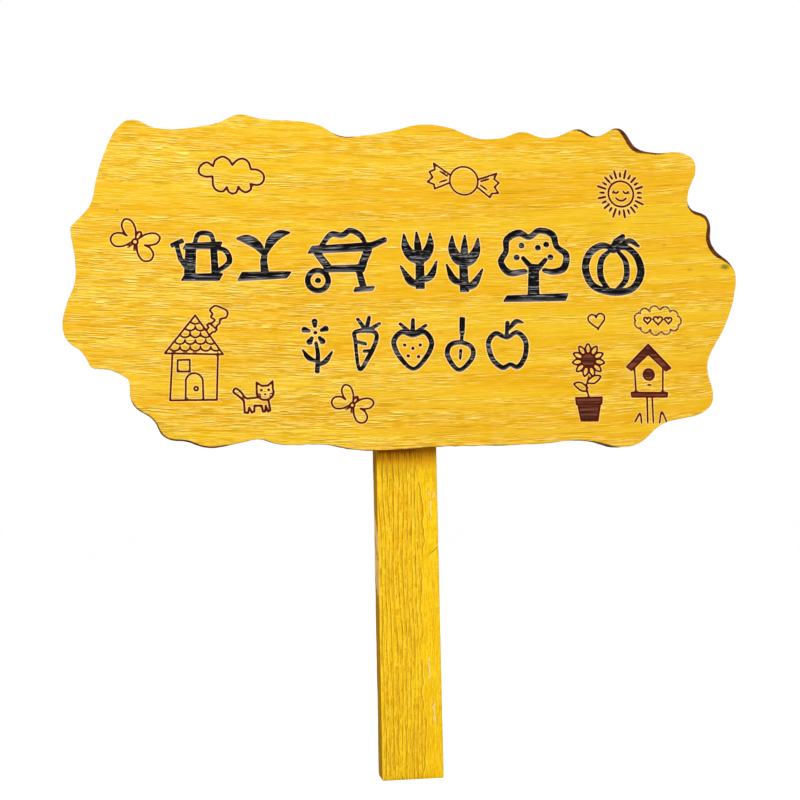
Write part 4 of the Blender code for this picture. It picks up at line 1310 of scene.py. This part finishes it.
def stake_finish(tints, pitch):
    """Amber stain with dark grooves, stain and painted shade under the board over a band of painted light,
    painted highlights beside the grooves and on the left edge, and painted shade on the left side with its
    bare patch.
    """
    tree = Finish("stained_stake", tints.stake)
    x, y, z = tree.place()
    tone, height = stake_wood(tree, x, y, z, tints)
    cut, quiet = ring_grooves(tree, x, y, z, pitch)
    beside = ring_grooves(tree, x - 0.6, y, z, pitch)[0]
    tone = tree.blend(quiet * 0.30, tone, tints.stake_quiet)
    tone = tree.blend(cut * (z.rise(130.0, 220.0) * 0.22 + 0.60), tone, tints.stake_deep_and_shade)
    # Painted highlight on the one wall beside each groove that faces the light
    tone = tree.blend((beside - cut).most(0) * 0.72, tone, tints.stake_pale_and_highlight)
    # Stain that ran down under the board in streaks, with painted shade in an even band right under its edge
    streaks = tree.noise(x / 0.9, y / 0.9, z / 40, 2)
    # Painted light: a brighter band where the board's shadow falls on the stake
    tone = tree.blend(z.rise(222.0, 230.0) * 0.75, tone, tints.painted_light_under_board)
    stain_and_shade_under_board = ((z + (streaks - 0.5) * 40).rise(232.0, 239.0) * 0.9).most(z.rise(233.5, 237.0) * 0.85)
    stain_and_shade_under_board = stain_and_shade_under_board * (x.rise(12.0, 2.0) * 0.35 + 0.65)
    tone = tree.blend(stain_and_shade_under_board * (y + 9.2).rise(0.3, -0.3), tone, tints.stain_and_shade_under_board)
    # A painted highlight along the left front edge, and painted shade on the left side with its bare patch
    tone = tree.blend(abs(x + 21.9).rise(0.6, 0.2) * 0.5, tone, tints.stake_pale_and_highlight)
    side = (x + 22.5).rise(0.5, 0.15)
    tone = tree.blend(side * 0.80, tone, tints.stake_side_shade)
    ragged = z + (tree.noise(y / 4, 2.0, z / 9, 2) - 0.5) * 18 - y * 1.0
    bare = ragged.rise(135.0, 139.0) * ragged.rise(188.0, 184.0) * abs(ragged - 166).rise(1.5, 3.5)
    tone = tree.blend(side * bare * streaks.rise(0.30, 0.42) * 0.9, tone, tints.raw)
    for chip_x, chip_z, half, half_high in CHIPS:
        across = (x - chip_x + (tree.noise(x / 2, 1.0, z / 4, 2) - 0.5) * 4) / half
        upright = (z - chip_z) / half_high
        apart = (across * across + upright * upright).root()
        front = (y + 9.0).rise(0.2, -0.2)
        # Painted shade on the left side of each chip; its pale middle is bare wood
        shaded = (across + 1.1).rise(0.5, -0.1) * apart.rise(1.7, 1.1) * front * 0.80
        tone = tree.blend(shaded, tone, tints.stake_deep_and_shade)
        tone = tree.blend(apart.rise(1.15, 0.75) * front * 0.55, tone, tints.highlight_and_pale_wood)
    rough = 0.55 + cut * 0.15 + side * 0.3
    normal = tree.relief(height - cut * 0.6, 0.0003)
    return tree.wear(Base_Color=tone, Roughness=rough, Normal=normal, Specular_IOR_Level=0.05)


def zinc_finish(tints):
    tree = Finish("bright_zinc", tints.zinc)
    x, y, z = tree.place()
    cloudy = tree.noise(x / 1.3, y / 1.3, z / 1.3, 3)
    tone = tree.blend(cloudy.rise(0.3, 0.7), tints.zinc, tints.zinc_dull)
    scuff = tree.noise(x / 0.15, y / 0.15, z / 0.15, 2)
    normal = tree.relief(scuff, 0.00001)
    return tree.wear(Base_Color=tone, Metallic=1.0, Roughness=0.26 + cloudy * 0.2, Normal=normal)


# Pieces

HEAD_EDGE = 0.0003  # height of the straight edge of a screw's head, in metres
RECESS = (0.0044, 0.001, 0.0036)  # length, width and depth of the cross recess's arms, in metres


def settle(piece, sharp, slot, *nodes):
    """Smooths a finished piece up to an angle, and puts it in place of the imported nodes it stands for."""
    piece.data.shade_smooth()
    piece.data.set_sharp_from_angle(angle=math.radians(sharp))
    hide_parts(*nodes)
    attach(piece, "root")


class SIGN_OT_board(bpy.types.Operator):
    """Build the carved board"""

    bl_idname = "sign.board"
    bl_label = "Carved board"

    def execute(self, context):
        sizes = context.scene.sign.board
        tree = Shape("brushed_board")
        skin = tree.given("Geometry", None, "NodeSocketGeometry")
        brush = tree.given("Brush depth", sizes.brush)
        height = tree.given("Ridge height", sizes.ridges)
        hewing = tree.given("Hewing depth", sizes.hewing)
        finish = tree.given("Material", board_finish(context.scene.sign.finish), "NodeSocketMaterial")
        x, y, z = tree.place()
        ink, line, patch, rim, side, facing = map(tree.attribute, (*FINISHES, "rim", "side", "facing"))
        band = tree.noise(x / 70, y / 8, z / 4.5, 2)
        figure = tree.noise(x / 40, y / 8, z / 1.6, 3, 0.6)
        brushed = rim.rise(0.1, 1.5) * line.rise(-0.2, -0.8) * ink.rise(-0.3, -1.0)
        cut = ink.rise(0.2, 1.2).most(patch.rise(0.2, 0.8) * 0.5)
        sink = band.rise(0.35, 0.65) * brush * brushed + (0.5 - figure.rise(0.35, 0.65)) * height * cut
        gouge = tree.noise(x / 9, y / 14, z / 9, 2).rise(0.3, 0.7) * hewing * side
        steps = {0: tree.inward(gouge), 1: tree.vector(0.0, sink * facing, 0.0)}
        both = tree.add("ShaderNodeVectorMath", {"operation": "ADD"}, steps)
        piece = tree.run(tree.move(skin, both), finish, "carved_board", board_skin(sizes))
        settle(piece, 45, "board_wood", "board")
        return {"FINISHED"}


def screw_points():
    mesh = bpy.data.meshes.new("screw_points")
    mesh.from_pydata([tuple(centre) for centre in screw_centres()], [], [])
    return mesh


class SIGN_OT_stake(bpy.types.Operator):
    """Build the stake"""

    bl_idname = "sign.stake"
    bl_label = "Stake"

    def execute(self, context):
        sizes, screws = context.scene.sign.stake, context.scene.sign.screws
        size, middle = STAKE_HIGH - STAKE_LOW, (STAKE_HIGH + STAKE_LOW) / 2
        half = [length / 2 / MM for length in size]
        pitch = sizes.ring_pitch / MM
        tree = Shape("ringed_stake")
        points = tree.given("Geometry", None, "NodeSocketGeometry")
        extent = tree.given("Size", size, "NodeSocketVector")
        depth = tree.given("Ring depth", sizes.ring_depth)
        arris = tree.given("Arris", sizes.arris)
        hole = tree.given("Hole radius", screws.shank + screws.clearance)
        seat = tree.given("Seat radius", screws.head + screws.clearance)
        finish = tree.given("Material", stake_finish(context.scene.sign.finish, pitch), "NodeSocketMaterial")
        cells = zip("XYZ", size, (sizes.cell_across, sizes.cell_across, sizes.cell_along))
        counts = {f"Vertices {axis}": int(length / cell) for axis, length, cell in cells}
        block = tree.move(tree.add("GeometryNodeMeshCube", inputs={"Size": extent, **counts}), tuple(middle))
        x, y, z = tree.place()
        groove, _ = ring_grooves(tree, x, y, z, pitch)
        side_x = abs(x).rise(half[0] - 0.05, half[0])
        side_y = abs(y).rise(half[1] - 0.05, half[1])
        end = abs(z - middle.z / MM).rise(half[2] - 0.4, half[2])
        ease = (side_x * side_y).most(side_x * end).most(side_y * end) * arris
        timber = tree.move(block, tree.inward(groove * depth * (1 - end) + ease))
        cone, bore, outside = seat - hole, 0.03, 0.005
        cutter = tree.united(
            tree.turned(screws.sides, hole, hole, bore, outside - bore),
            tree.turned(screws.sides, seat, seat, 0.002, -HEAD_EDGE),
            tree.turned(screws.sides, seat, hole, cone, -cone - HEAD_EDGE),
        )
        timber = tree.without(timber, tree.at_screws(points, cutter, 0.0), "MANIFOLD")
        piece = tree.run(timber, finish, "stake_timber", screw_points())
        settle(piece, 50, "stake_wood", "stake")
        return {"FINISHED"}


class SIGN_OT_screws(bpy.types.Operator):
    """Build the screws"""

    bl_idname = "sign.screws"
    bl_label = "Screws"

    def execute(self, context):
        sizes = context.scene.sign.screws
        tree = Shape("countersunk_screws")
        points = tree.given("Geometry", None, "NodeSocketGeometry")
        head = tree.given("Head", sizes.head)
        shank = tree.given("Shank", sizes.shank)
        core = tree.given("Core", sizes.core)
        finish = tree.given("Material", zinc_finish(context.scene.sign.finish), "NodeSocketMaterial")
        low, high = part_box(SCREW_NAMES[0])
        reach = high.y - low.y
        cone, plain, tip = sizes.head - sizes.shank, 0.012, 0.004
        overlap, point = 0.0001, 0.0001
        body = tree.united(
            tree.turned(sizes.sides, head, head, HEAD_EDGE, -HEAD_EDGE),
            tree.turned(sizes.sides, head, shank, cone, -HEAD_EDGE - cone),
            tree.turned(sizes.sides, shank, shank, plain, -HEAD_EDGE - cone - plain + overlap),
            tree.turned(sizes.sides, core, core, reach - tip - plain, -reach + tip),
            tree.turned(sizes.sides, core, point, tip, -reach),
        )
        wide, narrow, deep = RECESS
        arms = []
        for size in ((wide, narrow, deep), (narrow, wide, deep)):
            arm = tree.add("GeometryNodeMeshCube", inputs={"Size": size})
            x, y, z = tree.split(tree.add("GeometryNodeInputPosition"))
            share = 1 - z.rise(0.0, -deep) * 0.5
            arms.append(tree.move(arm, place=tree.vector(x * share, y * share, z)))
        body = tree.without(body, tree.united(*arms))
        turns = (reach - tip - plain - cone) / sizes.pitch
        radii = {"Start Radius": core, "End Radius": core}
        values = {"Resolution": 20, "Rotations": turns, "Height": turns * sizes.pitch, "Reverse": False}
        path = tree.add("GeometryNodeCurveSpiral", inputs={**values, **radii})
        values = {"Resolution": 3, "Radius": shank - core - 0.00005}
        ridge = tree.add("GeometryNodeCurvePrimitiveCircle", {"mode": "RADIUS"}, values)
        values = {"Curve": path, "Profile Curve": ridge, "Fill Caps": True}
        thread = tree.lift(tree.add("GeometryNodeCurveToMesh", inputs=values), -reach + tip + 0.0004)
        screw = tree.add("GeometryNodeJoinGeometry", inputs={0: [body, thread]})
        piece = tree.run(tree.at_screws(points, screw, sizes.turn), finish, "screws", screw_points())
        settle(piece, 35, "zinc_steel", *SCREW_NAMES)
        return {"FINISHED"}


# Studio

LAMPS_AIM = Vector((0, 0, 0.3))
LAMPS = (  # name, side and place of each lamp, in metres
    ("key", 0.9, (-0.75, -1.45, 1.10)),
    ("fill", 1.0, (1.25, -1.35, 0.55)),
    ("back", 1.0, (0.5, 1.7, 1.3)),
)


def light_rays(tree):
    """1 for rays that see the background, and 0 for rays that light the object."""
    rays = tree.made.nodes.new("ShaderNodeLightPath").outputs
    seen = [Wire(tree, rays[name]) for name in ("Is Camera Ray", "Is Glossy Ray", "Is Transmission Ray")]
    return seen[0].most(seen[1]).most(seen[2])


class SIGN_OT_studio(bpy.types.Operator):
    """Set up the floor, the lamps and the camera"""

    bl_idname = "sign.studio"
    bl_label = "Studio"

    def execute(self, context):
        sizes = context.scene.sign.studio
        self.floor()
        self.world(context.scene, sizes)
        for name, side, place in LAMPS:
            self.lamp(name, getattr(sizes, name), side, place)
        self.camera(context.scene, sizes)
        context.scene.view_settings.view_transform = "Standard"
        return {"FINISHED"}

    def floor(self):
        half = 20.0
        mesh = bpy.data.meshes.new("floor")
        corners = [(-half, -half, 0), (half, -half, 0), (half, half, 0), (-half, half, 0)]
        mesh.from_pydata(corners, [], [(0, 1, 2, 3)])
        tree = Finish("pale_floor", (0.9, 0.9, 0.9))
        mesh.materials.append(tree.wear(Base_Color=(0.5, 0.5, 0.5), Roughness=0.9, Specular_IOR_Level=0.1))
        values = {"Color": (1, 1, 1), "Strength": light_rays(tree) * 0.72}
        glow = tree.add("ShaderNodeEmission", inputs=values)
        diffuse = Wire(tree, tree.shader.outputs[0])
        both = tree.add("ShaderNodeAddShader", inputs={0: diffuse, 1: glow})
        tree.feed(tree.made.nodes["Material Output"].inputs["Surface"], both)
        new_object("floor", mesh)

    def world(self, scene, sizes):
        scene.world = scene.world or bpy.data.worlds.new("studio")
        scene.world.use_nodes = True
        tree = Tree(scene.world.node_tree)
        tree.made.nodes.clear()
        strength = sizes.ambient + (1 - sizes.ambient) * light_rays(tree)
        glow = tree.add("ShaderNodeBackground", inputs={"Color": (1, 1, 1), "Strength": strength})
        tree.feed(tree.made.nodes.new("ShaderNodeOutputWorld").inputs["Surface"], glow)

    def lamp(self, name, power, side, place):
        data = bpy.data.lights.new(name, "AREA")
        data.energy, data.size = power, side
        lamp = new_object(name, data)
        lamp.location = place
        lamp.rotation_euler = (LAMPS_AIM - Vector(place)).to_track_quat("-Z", "Y").to_euler()

    def camera(self, scene, sizes):
        data = bpy.data.cameras.new("camera")
        data.lens, data.sensor_width = sizes.lens, 36.0
        turn = Matrix.Rotation(-sizes.yaw, 4, "Z") @ Matrix.Rotation(math.pi / 2 + sizes.pitch, 4, "X")
        turn = turn @ Matrix.Rotation(sizes.roll, 4, "Z")
        camera = new_object("camera", data)
        camera.matrix_world = Matrix.Translation(sizes.camera_place) @ turn
        scene.camera = camera


# Add-on


class SIGN_PT_panel(bpy.types.Panel):
    bl_label = "Carved Stake Sign"
    bl_space_type = "VIEW_3D"
    bl_region_type = "UI"
    bl_category = "Sign"

    def draw(self, context):
        settings = context.scene.sign
        for part in ("board", "stake", "screws", "finish", "studio"):
            box = self.layout.box()
            box.label(text=part.capitalize())
            group = getattr(settings, part)
            for name in group.__annotations__:
                box.prop(group, name)
        for operator in OPERATORS:
            self.layout.operator(operator.bl_idname)


OPERATORS = (SIGN_OT_board, SIGN_OT_stake, SIGN_OT_screws, SIGN_OT_studio)
CLASSES = (
    BoardSettings, StakeSettings, ScrewSettings, FinishSettings, StudioSettings, SignSettings,
    *OPERATORS, SIGN_PT_panel,
)


def register():
    for each in CLASSES:
        bpy.utils.register_class(each)
    bpy.types.Scene.sign = PointerProperty(type=SignSettings, name="Sign", description="Settings of the sign")


def unregister():
    del bpy.types.Scene.sign
    for each in reversed(CLASSES):
        bpy.utils.unregister_class(each)


def main():
    register()
    bpy.ops.sign.board()
    bpy.ops.sign.stake()
    bpy.ops.sign.screws()
    bpy.ops.sign.studio()


if __name__ == "__main__":
    main()
